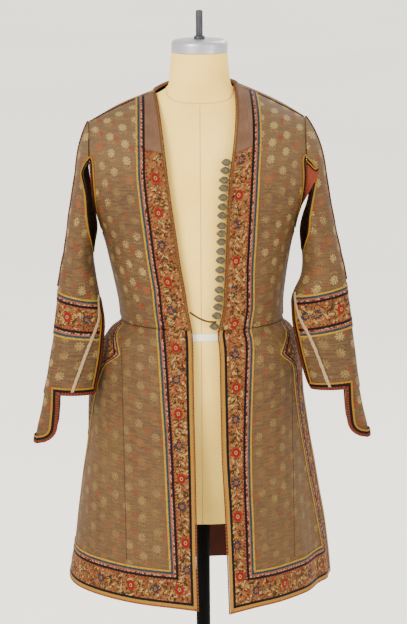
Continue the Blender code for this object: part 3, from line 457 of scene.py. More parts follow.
def ring_point(side, ring, turn, out=0.0):
    """A point of a sleeve ring, turn degrees from its outer side, positive to the front."""
    sign = SIDES[side]
    angle = math.radians(turn)
    middle, half = (ring.outer + ring.inner) / 2, (ring.outer - ring.inner) / 2
    x = middle + (half + out) * math.cos(angle)
    y = ring.y - (ring.depth + out) * math.sin(angle)
    return Vector((sign * x, y, ring.z + ring.tilt * (x - middle)))


def ring_at(side, z):
    rows = SLEEVE[side]
    return Ring(z, *[read(rows, "z", z, column) for column in Ring._fields[1:]])


def smooth_curve(points, count):
    """Points read from a smooth curve through a few chosen ones."""
    found = []
    last = len(points) - 1
    for i in range(count + 1):
        place = last * i / count
        k = min(int(place), last - 1)
        t = place - k
        p0, p1, p2, p3 = (points[min(max(k + d, 0), last)] for d in (-1, 0, 1, 2))
        found.append(
            0.5 * (2 * p1 + (p2 - p0) * t + (2 * p0 - 5 * p1 + 4 * p2 - p3) * t**2
                   + (3 * p1 - p0 - 3 * p2 + p3) * t**3)
        )
    return found


def form_radius(angle, z):
    """The form's outline at a height, before the coat limits it."""
    half_width = read(FORM, "z", z, "half_width")
    depth = -read(FORM, "z", z, "front_y") if math.sin(angle) < 0 else read(FORM, "z", z, "back_y")
    return Vector((half_width * math.cos(angle), depth * math.sin(angle), z))


def srgb(red, green, blue):
    """A colour as read off a screen, 0 to 255, in the shader's linear numbers."""
    return tuple(
        (c / 255 / 12.92) if c / 255 <= 0.04045 else ((c / 255 + 0.055) / 1.055) ** 2.4
        for c in (red, green, blue)
    )


# The studio light is brighter and whiter than the room in the photo, so cloth is
# dyed darker and warmer.
CLOTH_TONE = (0.345, 0.330, 0.315)


def silk(red, green, blue):
    """A colour of cloth or thread as read off a screen, toned for the studio light."""
    return tuple(c * tone for c, tone in zip(srgb(red, green, blue), CLOTH_TONE))


class Shade:
    """A material under construction, with short names for its nodes."""

    def __init__(self, name, roughness=0.7, metallic=0.0, specular=0.1):
        self.material = bpy.data.materials.new(name)
        self.material.use_nodes = True
        self.tree = self.material.node_tree
        self.shader = self.tree.nodes["Principled BSDF"]
        self.shader.inputs["Roughness"].default_value = roughness
        self.shader.inputs["Metallic"].default_value = metallic
        self.shader.inputs["Specular IOR Level"].default_value = specular
        self.height = None

    def put(self, socket, value):
        if isinstance(value, bpy.types.NodeSocket):
            self.tree.links.new(value, socket)
        elif isinstance(value, tuple) and len(value) == 3 and socket.type == "RGBA":
            socket.default_value = (*value, 1.0)
        else:
            socket.default_value = value

    def math(self, operation, a, b=0.0, c=0.0, clamp=False):
        node = self.tree.nodes.new("ShaderNodeMath")
        node.operation = operation
        node.use_clamp = clamp
        for socket, value in zip(node.inputs, (a, b, c)):
            self.put(socket, value)
        return node.outputs[0]

    def add(self, a, b):
        return self.math("ADD", a, b)

    def sub(self, a, b):
        return self.math("SUBTRACT", a, b)

    def mul(self, a, b):
        return self.math("MULTIPLY", a, b)

    def below(self, value, edge, soft):
        """1 where value is under edge, 0 where it is over, soft metres between."""
        return self.math("MULTIPLY", self.sub(edge, value), 1.0 / soft, clamp=True)

    def between(self, value, low, high, soft):
        return self.mul(self.below(value, high, soft),
                        self.below(self.mul(value, -1.0), -low, soft))

    def mix(self, share, a, b):
        node = self.tree.nodes.new("ShaderNodeMix")
        node.data_type = "RGBA"
        self.put(node.inputs[0], share)
        self.put(node.inputs[6], a)
        self.put(node.inputs[7], b)
        return node.outputs[2]

    def uv(self, name):
        node = self.tree.nodes.new("ShaderNodeUVMap")
        node.uv_map = name
        parts = self.tree.nodes.new("ShaderNodeSeparateXYZ")
        self.tree.links.new(node.outputs[0], parts.inputs[0])
        return parts.outputs[0], parts.outputs[1]

    def place(self):
        return self.tree.nodes.new("ShaderNodeTexCoord").outputs["Object"]

    def vector(self, x, y, z=0.0):
        node = self.tree.nodes.new("ShaderNodeCombineXYZ")
        for socket, value in zip(node.inputs, (x, y, z)):
            self.put(socket, value)
        return node.outputs[0]

    def along_axis(self, axis):
        """One of the object's own coordinates, 0 to 2 for x to z."""
        node = self.tree.nodes.new("ShaderNodeSeparateXYZ")
        self.tree.links.new(self.place(), node.inputs[0])
        return node.outputs[axis]

    def noise(self, scale, detail=2.0, vector=None, low=0.35, high=0.65):
        """Noise stretched so that it runs from 0 to 1 between low and high."""
        node = self.tree.nodes.new("ShaderNodeTexNoise")
        self.tree.links.new(vector or self.place(), node.inputs["Vector"])
        node.inputs["Scale"].default_value = scale
        node.inputs["Detail"].default_value = detail
        return self.math("MULTIPLY", self.sub(node.outputs["Fac"], low), 1.0 / (high - low),
                         clamp=True)

    def white(self, vector):
        node = self.tree.nodes.new("ShaderNodeTexWhiteNoise")
        self.tree.links.new(vector, node.inputs["Vector"])
        parts = self.tree.nodes.new("ShaderNodeSeparateColor")
        self.tree.links.new(node.outputs["Color"], parts.inputs[0])
        return parts.outputs[0], parts.outputs[1], parts.outputs[2]

    def cells(self, scale, vector=None):
        """Random value and edge distance of small irregular cells."""
        node = self.tree.nodes.new("ShaderNodeTexVoronoi")
        self.tree.links.new(vector or self.place(), node.inputs["Vector"])
        node.inputs["Scale"].default_value = scale
        parts = self.tree.nodes.new("ShaderNodeSeparateColor")
        self.tree.links.new(node.outputs["Color"], parts.inputs[0])
        return parts.outputs[0], parts.outputs[1], node.outputs["Distance"]

    def done(self, colour, bump=None, depth=0.0003, strength=0.6):
        self.put(self.shader.inputs["Base Color"], colour)
        if bump is not None:
            node = self.tree.nodes.new("ShaderNodeBump")
            node.inputs["Strength"].default_value = strength
            node.inputs["Distance"].default_value = depth
            self.put(node.inputs["Height"], bump)
            self.tree.links.new(node.outputs[0], self.shader.inputs["Normal"])
        return self.material


def weave(shade, u, v, pitch):
    """A fine over-and-under relief from 0 to 1."""
    turn = 2 * math.pi / pitch
    warp = shade.math("SINE", shade.mul(u, turn))
    weft = shade.math("SINE", shade.mul(v, turn))
    return shade.math("MULTIPLY_ADD", shade.mul(warp, weft), 0.5, 0.5)


def petals(shade, x, y, radius, lobes, phase):
    """A round flower of separate petals about a ringed heart, as a mask, and its reach."""
    reach = shade.math("SQRT", shade.add(shade.mul(x, x), shade.mul(y, y)))
    angle = shade.math("ARCTAN2", y, x)
    wave = shade.math("COSINE", shade.math("MULTIPLY_ADD", angle, float(lobes), phase))
    edge = shade.math("MULTIPLY_ADD", wave, radius * 0.16, radius * 0.86)
    disc = shade.below(reach, edge, radius * 0.12)
    slots = shade.mul(shade.below(wave, -0.35, 0.5),
                      shade.between(reach, radius * 0.42, radius, radius * 0.1))
    ring = shade.between(reach, radius * 0.24, radius * 0.38, radius * 0.08)
    return shade.mul(disc, shade.math("SUBTRACT", 1.0, shade.math("MAXIMUM", slots, ring)))


# Radii of the rosette and the bud, and the repeat that they share.
ROSETTE = 0.0088
BUD = 0.0062
REPEAT = (0.0275, 0.0335)

# Painted top light: above the chest the brocade's ground is painted lighter and its gilt brighter,
# as where light falls on the shoulders from above.
TOP_LIGHT_FROM_Z = 1.175
TOP_LIGHT_RISE = 0.080


def brocade(name, ground, second, gilt, ghost, red, seed):
    """Silk with half-dropped gold rosettes, leaves and small red sprigs."""
    shade = Shade(name, roughness=0.66)
    u, v = shade.uv("cloth")
    cell_w, cell_h = REPEAT

    def layout(shift_u, shift_v, salt):
        """Place inside a half-drop cell and three random numbers of that cell."""
        across = shade.math("MULTIPLY_ADD", u, 1.0 / cell_w, seed + shift_u)
        column = shade.math("FLOOR", across)
        drop = shade.mul(shade.math("FLOORED_MODULO", column, 2.0), 0.5)
        down = shade.add(shade.math("MULTIPLY_ADD", v, 1.0 / cell_h, seed + shift_v), drop)
        row = shade.math("FLOOR", down)
        picks = shade.white(shade.vector(column, row, seed + salt))
        x = shade.mul(shade.sub(shade.sub(across, column), 0.5), cell_w)
        y = shade.mul(shade.sub(shade.sub(down, row), 0.5), cell_h)
        x = shade.math("MULTIPLY_ADD", shade.sub(picks[0], 0.5), 0.0050, x)
        y = shade.math("MULTIPLY_ADD", shade.sub(picks[1], 0.5), 0.0060, y)
        return x, y, picks

    x, y, (_, _, tint_pick) = layout(0.0, 0.0, 0.0)
    flower = petals(shade, x, y, ROSETTE, 9, 0.6)
    leaf_x = shade.sub(shade.math("ABSOLUTE", x), 0.0048)
    leaf_y = shade.add(y, 0.0120)
    lean = shade.math("MULTIPLY_ADD", leaf_x, -0.9, leaf_y)
    leaf_reach = shade.math("SQRT", shade.add(shade.mul(leaf_x, leaf_x),
                                              shade.mul(shade.mul(lean, lean), 4.0)))
    leaf = shade.below(leaf_reach, 0.0034, 0.0008)
    stem = shade.mul(shade.between(x, -0.0006, 0.0006, 0.0005),
                     shade.between(y, -0.0170, -0.0085, 0.001))
    greens = shade.math("MAXIMUM", stem, leaf)
    x2, y2, (sprig_pick, _, _) = layout(0.5, 0.25, 7.0)
    bud = petals(shade, x2, y2, BUD, 5, 1.2)
    twig_y = shade.add(y2, 0.0082)
    twig = shade.below(shade.math("SQRT",
                                  shade.add(shade.mul(shade.mul(x2, x2), 3.0),
                                            shade.mul(twig_y, twig_y))),
                       0.0034, 0.0008)
    # Painted top light: 0 below the chest, rising to 1 on the shoulders.
    high = shade.math("MULTIPLY", shade.sub(shade.along_axis(2), TOP_LIGHT_FROM_Z), 1.0 / TOP_LIGHT_RISE,
                      clamp=True)
    # Random wear of the gilt, raised to full on the shoulders by the painted top light.
    worn = shade.math("MAXIMUM", shade.noise(13.0, 3.0, low=0.38, high=0.58), high)
    worn2 = shade.noise(17.0, 2.0, low=0.40, high=0.60)
    fleck = shade.noise(380.0, 2.0, low=0.36, high=0.56)
    fine = shade.noise(1.0, 2.0, shade.vector(shade.mul(u, 1500.0), shade.mul(v, 260.0)), 0.3, 0.7)
    slub = shade.noise(1.0, 2.0, shade.vector(shade.mul(u, 170.0), shade.mul(v, 1500.0)), 0.35,
                       0.65)
    patch = shade.noise(7.0, 4.0)
    colour = shade.mix(patch, ground, second)
    colour = shade.mix(shade.mul(fine, 0.40), colour, silk(84, 60, 42))
    colour = shade.mix(shade.mul(slub, 0.22), colour, silk(176, 144, 96))
    warps = shade.noise(1.0, 3.0, shade.vector(shade.mul(u, 380.0), shade.mul(v, 45.0)), 0.40,
                        0.66)
    wefts = shade.noise(1.0, 3.0, shade.vector(shade.mul(u, 40.0), shade.mul(v, 360.0)), 0.40,
                        0.66)
    colour = shade.mix(shade.mul(warps, 0.38), colour, silk(88, 62, 44))
    colour = shade.mix(shade.mul(wefts, 0.42), colour, silk(170, 140, 84))
    # Painted highlight: the ground lightened on the shoulders.
    colour = shade.mix(shade.mul(high, 0.14), colour, silk(206, 176, 130))
    blur = shade.noise(90.0, 3.0, low=0.42, high=0.60)
    soft = shade.mul(shade.math("MAXIMUM", flower, greens),
                     shade.math("MULTIPLY_ADD", blur, 0.7, 0.3))
    colour = shade.mix(shade.mul(soft, ghost), colour, silk(178, 142, 70))
    pick = shade.mul(shade.math("MAXIMUM", bud, shade.mul(twig, 0.6)),
                     shade.below(sprig_pick, 0.62, 0.02))
    colour = shade.mix(shade.mul(shade.mul(pick, red),
                                 shade.math("MULTIPLY_ADD", worn2, 0.75, 0.25)), colour,
                       silk(178, 72, 40))
    tint = shade.mix(shade.below(tint_pick, 0.24, 0.01), silk(242, 212, 132), silk(206, 92, 48))
    # Painted highlight: more gilt flecks lit on the shoulders.
    fleck = shade.math("MAXIMUM", fleck, shade.mul(high, 0.6))
    bright = shade.mul(shade.mul(flower, fleck),
                       shade.mul(shade.math("MULTIPLY_ADD", worn, 0.9, 0.1), gilt))
    colour = shade.mix(bright, colour, tint)
    colour = shade.mix(shade.mul(shade.mul(greens, fleck), shade.mul(worn, gilt * 0.7)), colour,
                       silk(196, 166, 92))
    relief = shade.math("MULTIPLY_ADD", flower, 0.6, shade.mul(weave(shade, u, v, 0.0014), 0.5))
    return shade.done(colour, relief, 0.0003, 0.6)


def plain_cloth(name, colour, second, pitch=0.0015, roughness=0.75, depth=0.0002):
    shade = Shade(name, roughness=roughness)
    u, v = shade.uv("cloth")
    tone = shade.noise(22.0, 3.0)
    streak = shade.noise(1.0, 2.0, shade.vector(shade.mul(u, 900.0), shade.mul(v, 60.0)), 0.3, 0.7)
    mixed = shade.mix(shade.math("MULTIPLY_ADD", streak, 0.4, shade.mul(tone, 0.5)), colour,
                      second)
    return shade.done(mixed, weave(shade, u, v, pitch), depth, 0.5)


def border(name, edge_stripes, facing=False, band=False):
    """The trimming band: stripes from the field, then flowers on tan, then stripes at the edge."""
    shade = Shade(name, roughness=0.72)
    across, up = shade.uv("cloth")
    along = shade.add(across, up)
    if band:
        edge, field = 1.0, shade.math("MINIMUM", *shade.uv("band"))
    else:
        edges, fields = zip(shade.uv("front"), shade.uv("hem"), shade.uv("side"))
        edge = shade.math("MINIMUM", shade.math("MINIMUM", edges[0], edges[1]), edges[2])
        field = shade.math("MAXIMUM", shade.math("MAXIMUM", fields[0], fields[1]), fields[2])
    dark = silk(22, 17, 16)
    # Ground of tiny stitched leaves and curls.
    bent = shade.noise(150.0, 2.0, low=0.0, high=1.0)
    place = shade.tree.nodes.new("ShaderNodeVectorMath")
    place.operation = "MULTIPLY_ADD"
    shade.tree.links.new(shade.vector(bent, shade.noise(120.0, 1.0, low=0.0, high=1.0), bent),
                         place.inputs[0])
    place.inputs[1].default_value = (0.008, 0.008, 0.008)
    shade.tree.links.new(shade.place(), place.inputs[2])
    pick, _, reach = shade.cells(330.0, place.outputs[0])
    ground = shade.mix(shade.noise(30.0, 2.0), silk(186, 128, 70), silk(150, 96, 54))
    ground = shade.mix(shade.below(pick, 0.20, 0.01), ground, silk(96, 74, 34))
    ground = shade.mix(shade.between(pick, 0.20, 0.36, 0.01), ground, silk(172, 72, 40))
    ground = shade.mix(shade.between(pick, 0.36, 0.46, 0.01), ground, silk(224, 184, 118))
    ground = shade.mix(shade.between(pick, 0.46, 0.56, 0.01), ground, silk(66, 44, 30))
    if facing:
        ground = shade.mix(shade.noise(26.0, 3.0), silk(172, 130, 102), silk(148, 110, 86))
        threads = shade.noise(1.0, 2.0,
                              shade.vector(shade.mul(across, 900.0), shade.mul(up, 40.0)), 0.3,
                              0.7)
        ground = shade.mix(shade.mul(threads, 0.4), ground, silk(94, 66, 50))
    colour = ground

    def stripe(low, high, tint, soft=0.0003):
        nonlocal colour
        colour = shade.mix(shade.between(field, low, high, soft), colour, tint)

    beat = shade.math("SINE", shade.mul(along, 2 * math.pi / 0.0058))
    if not facing:
        stripe(0.0168, 0.0188, shade.mix(shade.below(beat, -0.1, 0.5), silk(190, 96, 60),
                                         silk(96, 34, 22)))
    stripe(0.0122, 0.0168, dark)
    wander = shade.mul(shade.math("SINE", shade.mul(along, 2 * math.pi / 0.0072)), 0.0010)
    white = shade.below(shade.math("ABSOLUTE", shade.sub(field, shade.add(wander, 0.0108))),
                        0.0007, 0.0004)
    gaps = shade.noise(210.0, 2.0, low=0.42, high=0.52)
    red_ground = shade.mix(gaps, silk(96, 34, 26), silk(178, 84, 62))
    stripe(0.0092, 0.0124, shade.mix(shade.mul(white, gaps), red_ground, silk(238, 216, 178)))
    stripe(0.0074, 0.0094, silk(196, 104, 74))
    stripe(0.0034, 0.0076, shade.mix(shade.noise(300.0), silk(54, 92, 98), silk(34, 62, 76)))
    stripe(-0.0010, 0.0035, shade.mix(shade.noise(300.0), silk(240, 190, 44), silk(206, 150, 32)))
    for low, high, tint in edge_stripes:
        colour = shade.mix(shade.between(edge, low, high, 0.0003), colour, tint)
    ribs = shade.math("SINE", shade.mul(along, 2 * math.pi / 0.0013))
    relief = shade.math("MULTIPLY_ADD", ribs, 0.15, shade.mul(reach, 0.6))
    return shade.done(colour, relief, 0.0004, 0.6)


def thread(name, colour, second, pitch=0.0016, roughness=0.7, metallic=0.0):
    """Twisted or plaited thread: fine slanting strands along the piece, painted darker in the
    grooves between strands as shade.
    """
    shade = Shade(name, roughness=roughness, metallic=metallic)
    along, across = shade.uv("cloth")
    strand = shade.math("SINE", shade.add(shade.mul(along, 2 * math.pi / pitch),
                                          shade.mul(across, 9.0)))
    share = shade.math("MULTIPLY_ADD", strand, 0.4, 0.5)
    tone = shade.noise(180.0, 2.0)
    # Painted shade: the darker second tone falls in the grooves of the strand relief, the first
    # tone on its crests.
    colour = shade.mix(shade.mul(share, 0.8), second, colour)
    return shade.done(shade.mix(shade.mul(tone, 0.25), colour, second), strand, 0.0003, 0.5)


def loop_thread():
    """Two brown strands twisted together, painted dark in the groove between them as shade, read
    in place because a curve carries no map.
    """
    shade = Shade("loop_thread", roughness=0.75)
    slant = shade.add(shade.along_axis(0), shade.mul(shade.along_axis(2), 1.6))
    strand = shade.math("SINE", shade.mul(slant, 2 * math.pi / 0.0042))
    # Painted shade: dark brown in the grooves of the twist, light brown on the strands.
    colour = shade.mix(shade.below(strand, -0.2, 0.5), silk(142, 100, 66), silk(54, 34, 24))
    return shade.done(colour, strand, 0.0006, 0.8)


def stitched(name, colour, second):
    """Silk satin stitch with a soft sheen."""
    shade = Shade(name, roughness=0.6)
    u, v = shade.uv("cloth")
    lines = shade.math("SINE", shade.mul(shade.add(u, shade.mul(v, 0.4)), 2 * math.pi / 0.0009))
    share = shade.math("MULTIPLY_ADD", lines, 0.3, 0.4)
    return shade.done(shade.mix(shade.math("MAXIMUM", share, shade.mul(shade.noise(500.0), 0.6)),
                                colour, second), lines, 0.0002, 0.5)


def spotted(name, colour, second, spot, pitch):
    """A corded edge wrapped in spotted thread."""
    shade = Shade(name, roughness=0.7)
    along, _ = shade.uv("cloth")
    beat = shade.math("SINE", shade.mul(along, 2 * math.pi / pitch))
    tone = shade.mix(shade.noise(240.0), colour, second)
    return shade.done(shade.mix(shade.below(beat, -0.55, 0.3), tone, spot), beat, 0.0003, 0.4)


def canvas():
    shade = Shade("canvas", roughness=0.8)
    u, v = shade.uv("cloth")
    tone = shade.noise(9.0, 3.0)
    fine = shade.noise(420.0, 2.0)
    colour = shade.mix(tone, srgb(255, 220, 116), srgb(246, 204, 98))
    colour = shade.mix(shade.mul(fine, 0.16), colour, srgb(206, 160, 84))
    low = shade.noise(2.4, 2.0)
    colour = shade.mix(shade.mul(low, 0.12), colour, srgb(216, 164, 84))
    return shade.done(colour, weave(shade, u, v, 0.0011), 0.00012, 0.4)


def metal(name, colour, roughness, metallic, streaks=0.0, specular=0.25):
    shade = Shade(name, roughness=roughness, metallic=metallic, specular=specular)
    scratch = shade.noise(60.0, 4.0)
    shade.put(shade.shader.inputs["Roughness"],
              shade.math("MULTIPLY_ADD", scratch, streaks, roughness))
    dull = tuple(c * 0.82 for c in colour)
    return shade.done(shade.mix(shade.mul(scratch, 0.5), colour, dull))


def knotted():
    """Dull silver-green metal thread, wound round the knot, painted dark in the grooves between
    windings as shade and pale on their crests as a highlight.
    """
    shade = Shade("knot_thread", roughness=0.45, metallic=0.2)
    u, v = shade.uv("cloth")
    wound = shade.math("SINE", shade.mul(shade.add(u, shade.mul(v, 0.8)), 2 * math.pi * 9))
    tone = shade.noise(260.0, 2.0)
    colour = shade.mix(tone, silk(186, 172, 138), silk(124, 112, 84))
    # Painted shade in the grooves of the winding, and a painted highlight on its crests.
    colour = shade.mix(shade.below(wound, -0.5, 0.3), colour, silk(44, 38, 26))
    colour = shade.mix(shade.mul(shade.below(shade.mul(wound, -1.0), -0.6, 0.3), 0.6), colour,
                       silk(204, 196, 166))
    return shade.done(colour, wound, 0.0006, 0.8)


# Border widths up each front edge and side slit, as height and width.
FRONT_BORDER = {
    "right": [(0.455, 0.0480), (0.530, 0.0480), (0.628, 0.0510), (0.750, 0.0540), (0.860, 0.0590),
              (0.930, 0.0630), (1.007, 0.0580), (1.065, 0.0570), (1.197, 0.0545), (1.210, 0.0540)],
    "left": [(0.455, 0.0480), (0.530, 0.0485), (0.646, 0.0490), (0.800, 0.0550), (0.922, 0.0615),
             (0.960, 0.0560), (1.051, 0.0515), (1.195, 0.0530), (1.210, 0.0530)],
}
TOP_BORDER = {"right": 0.0330, "left": 0.0390}
SIDE_BORDER = [(0.455, 0.0580), (0.858, 0.0560), (0.866, 0.0600), (0.887, 0.0880), (0.902, 0.0750),
               (0.940, 0.0280)]
HEM_BORDER = 0.0690
HEM_ROWS = 14
SKIRT_ROWS = 74
BAND_COLUMNS = 12
MIDDLE_COLUMNS = 34
BACK_MIDDLE_COLUMNS = 88
WAIST_ROWS = 28
SLIT_ROWS = 18
YOKE_FINE_ROWS = 30
CHEST_COLUMNS = 26
BACK_HALF_COLUMNS = 36
CAP_FINE_ROWS = 10
SLEEVE_FINE_ROWS = 76
SLEEVE_EDGE_COLUMNS = 14
SLEEVE_FLAP_COLUMNS = 28
FLAP_FINE_ROWS = 18

# Creases: the panel, where each starts and ends across and up it, how wide and how deep.
# A negative depth is a trough.
Crease = namedtuple("Crease", "panel u0 v0 u1 v1 width depth")
CREASES = [
    Crease("bodice_front_left", 0.066, 0.272, 0.150, 0.262, 0.0050, 0.0011),
    Crease("bodice_front_left", 0.064, 0.236, 0.156, 0.228, 0.0050, 0.0012),
    Crease("bodice_front_left", 0.080, 0.254, 0.146, 0.246, 0.0060, -0.0009),
    Crease("bodice_front_left", 0.160, 0.170, 0.084, 0.118, 0.0080, -0.0012),
    Crease("bodice_front_left", 0.168, 0.150, 0.110, 0.070, 0.0075, 0.0012),
    Crease("bodice_front_left", 0.150, 0.030, 0.095, 0.095, 0.0090, -0.0010),
    Crease("bodice_front_right", 0.060, 0.262, 0.150, 0.244, 0.0055, 0.0010),
    Crease("bodice_front_right", 0.070, 0.222, 0.160, 0.210, 0.0060, 0.0010),
    Crease("bodice_front_right", 0.172, 0.165, 0.092, 0.122, 0.0080, -0.0013),
    Crease("bodice_front_right", 0.176, 0.140, 0.120, 0.060, 0.0080, 0.0012),
    Crease("bodice_front_right", 0.150, 0.020, 0.090, 0.075, 0.0100, -0.0010),
    Crease("bodice_back", 0.060, 0.160, 0.150, 0.110, 0.0090, -0.0014),
    Crease("bodice_back", 0.055, 0.130, 0.120, 0.050, 0.0080, 0.0012),
    Crease("bodice_back", 0.330, 0.165, 0.250, 0.105, 0.0090, -0.0013),
    Crease("bodice_back", 0.340, 0.130, 0.290, 0.045, 0.0080, 0.0013),
    Crease("bodice_back", 0.130, 0.262, 0.270, 0.258, 0.0070, 0.0010),
    Crease("skirt_front_left", 0.085, 0.480, 0.098, 0.250, 0.0070, 0.0012),
    Crease("skirt_front_left", 0.115, 0.485, 0.150, 0.330, 0.0090, -0.0012),
    Crease("skirt_front_left", 0.150, 0.150, 0.185, 0.010, 0.0120, 0.0016),
    Crease("skirt_front_left", 0.060, 0.400, 0.250, 0.392, 0.0060, 0.0007),
    Crease("skirt_front_right", 0.088, 0.480, 0.104, 0.240, 0.0070, 0.0012),
    Crease("skirt_front_right", 0.120, 0.485, 0.160, 0.320, 0.0090, -0.0013),
    Crease("skirt_front_right", 0.190, 0.250, 0.215, 0.020, 0.0120, 0.0015),
    Crease("skirt_front_right", 0.060, 0.300, 0.270, 0.308, 0.0060, -0.0007),
    Crease("skirt_back", 0.170, 0.480, 0.150, 0.300, 0.0100, -0.0014),
    Crease("skirt_back", 0.240, 0.480, 0.250, 0.220, 0.0090, 0.0014),
    Crease("skirt_back", 0.330, 0.480, 0.360, 0.280, 0.0110, -0.0014),
    Crease("skirt_back", 0.300, 0.200, 0.290, 0.010, 0.0130, 0.0018),
    Crease("skirt_back", 0.120, 0.180, 0.110, 0.010, 0.0120, -0.0014),
]
# The same on the sleeves, by turn in degrees from the outer side and height.
SleeveCrease = namedtuple("SleeveCrease", "side turn0 z0 turn1 z1 width depth")
SLEEVE_CREASES = [
    SleeveCrease("right", 20, 1.165, 95, 1.120, 0.0090, -0.0014),
    SleeveCrease("right", 40, 1.120, 110, 1.062, 0.0100, 0.0015),
    SleeveCrease("right", -10, 1.070, 70, 1.030, 0.0090, -0.0014),
    SleeveCrease("right", 60, 1.010, 62, 0.860, 0.0090, 0.0012),
    SleeveCrease("right", -60, 1.120, -90, 0.990, 0.0110, -0.0016),
    SleeveCrease("right", -110, 1.050, -120, 0.880, 0.0100, 0.0014),
    SleeveCrease("right", 110, 0.905, 60, 0.840, 0.0080, -0.0010),
    SleeveCrease("left", 25, 1.160, 100, 1.128, 0.0090, -0.0014),
    SleeveCrease("left", 35, 1.105, 115, 1.060, 0.0100, 0.0015),
    SleeveCrease("left", -5, 1.060, 75, 1.028, 0.0090, -0.0014),
    SleeveCrease("left", 50, 0.905, 40, 0.845, 0.0090, 0.0011),
    SleeveCrease("left", -70, 1.115, -95, 0.985, 0.0110, -0.0016),
    SleeveCrease("left", -115, 1.040, -118, 0.890, 0.0100, 0.0014),
]
CLOTH_WAVE = 0.0005
MEAN_SLEEVE_RADIUS = 0.0395


def table(rows, at):
    return float(np.interp(at, [row[0] for row in rows], [row[1] for row in rows]))


def spaced(low, high, count):
    return [low + (high - low) * k / count for k in range(count + 1)]


class Panel:
    """A fine grid of cloth with its outward normals and its lengths across and up."""

    def __init__(self, name, rows, flip):
        self.name = name
        self.flip = flip
        self.points = np.array([[tuple(point) for point in row] for row in rows])
        self.measure()
        self.shift()
        self.measure_normals()

    def measure(self):
        across = np.linalg.norm(np.diff(self.points, axis=1), axis=2)
        up = np.linalg.norm(np.diff(self.points, axis=0), axis=2)
        self.u = np.pad(np.cumsum(across, axis=1), ((0, 0), (1, 0)))
        self.v = np.pad(np.cumsum(up, axis=0), ((1, 0), (0, 0)))
        self.station = self.v[:, min(6, self.v.shape[1] - 1)]
        self.measure_normals()

    def measure_normals(self):
        cross = np.cross(np.gradient(self.points, axis=1), np.gradient(self.points, axis=0))
        cross /= np.linalg.norm(cross, axis=2, keepdims=True)
        self.normals = -cross if self.flip else cross

    def shift(self):
        """Creases and the cloth's slight unevenness."""
        move = CLOTH_WAVE * (
            np.sin(self.u * 71 + self.v * 23) * 0.5 + np.sin(self.v * 57 - self.u * 38 + 1.3) * 0.5
        )
        for crease in CREASES:
            if crease.panel != self.name:
                continue
            start = np.array([crease.u0, crease.v0])
            along = np.array([crease.u1, crease.v1]) - start
            way = np.stack([self.u, self.v], axis=2) - start
            part = np.clip((way @ along) / (along @ along), 0, 1)
            off = np.linalg.norm(way - part[..., None] * along, axis=2)
            fade = np.sin(np.pi * np.clip(part * 0.84 + 0.08, 0, 1))
            move += crease.depth * np.exp(-((off / crease.width) ** 2)) * fade
        self.points = self.points + self.normals * move[..., None]

    def at(self, r, c, lift=0.0):
        """The place on the cloth at a row and a column, with fractions, and a lift off it."""
        rows, columns = self.points.shape[:2]
        low_r, low_c = int(min(max(r, 0), rows - 1.001)), int(min(max(c, 0), columns - 1.001))
        f, g = min(max(r - low_r, 0.0), 1.0), min(max(c - low_c, 0.0), 1.0)

        def mixed(field):
            return (
                (field[low_r, low_c] * (1 - g) + field[low_r, low_c + 1] * g) * (1 - f)
                + (field[low_r + 1, low_c] * (1 - g) + field[low_r + 1, low_c + 1] * g) * f
            )

        return mixed(self.points) + mixed(self.normals) * lift

    def place(self, u, v):
        """The row and column of lengths across and up."""
        r = float(np.interp(v, self.station, np.arange(len(self.station))))
        low = min(int(r), len(self.station) - 2)
        across = self.u[low] * (1 - (r - low)) + self.u[low + 1] * (r - low)
        return r, float(np.interp(u, across, np.arange(len(across))))

    def spot(self, u, v, lift=0.0):
        return self.at(*self.place(u, v), lift)

    def find(self, x, z):
        """Lengths across and up of the front place seen at x and z."""
        r = 0.0
        c = 0.0
        for _ in range(4):
            low_c = min(int(c), self.points.shape[1] - 2)
            column = self.points[:, low_c, 2] * (1 - (c - low_c)) + self.points[:, low_c + 1,
                                                                                2] * (c - low_c)
            r = float(np.interp(z, column, np.arange(len(column))))
            low_r = min(int(r), self.points.shape[0] - 2)
            row = self.points[low_r, :, 0] * (1 - (r - low_r)) + self.points[low_r + 1, :,
                                                                             0] * (r - low_r)
            c = float(np.interp(abs(x), np.abs(row), np.arange(len(row))))
        low_r, low_c = min(int(r), self.points.shape[0] - 2), min(int(c), self.points.shape[1] - 2)
        f, g = r - low_r, c - low_c
        u = (self.u[low_r, low_c] * (1 - g) + self.u[low_r, low_c + 1] * g) * (1 - f) + (
            self.u[low_r + 1, low_c] * (1 - g) + self.u[low_r + 1, low_c + 1] * g
        ) * f
        return u, float(np.interp(r, np.arange(len(self.station)), self.station))


def skirt_fine_heights():
    top = WAIST_Z - SEAM / 2
    hem = spaced(HEM_Z, HEM_Z + HEM_BORDER, HEM_ROWS)
    return hem + spaced(hem[-1], top, SKIRT_ROWS)[1:]


def skirt_front_panel(side):
    grid = []
    for z in skirt_fine_heights():
        front, seam, _, _ = level_ends(SKIRT, side, z, SLIT)
        row = folded("skirt_front_" + side,
                     turning_row(front, seam, read(SKIRT, "z", z, side + "_turn")))
        length = row_length(row)
        width, far = table(FRONT_BORDER[side], z), length - table(SIDE_BORDER, z)
        places = spaced(0.0, width, BAND_COLUMNS)
        places += spaced(width, far, MIDDLE_COLUMNS)[1:-1] + spaced(far, length, BAND_COLUMNS)
        points = at_distances(row, places)
        for point, place in zip(points, places):
            near_hem = max(0.0, 1 - (z - HEM_Z) / CORNER_REACH)
            near_edge = max(0.0, 1 - place / CORNER_REACH)
            point.z -= CORNER_DIP[side] * near_hem * near_edge**2
            point.z += side_lift(side, place / length, z)
        grid.append(points)
    return Panel("skirt_front_" + side, grid, side == "right")


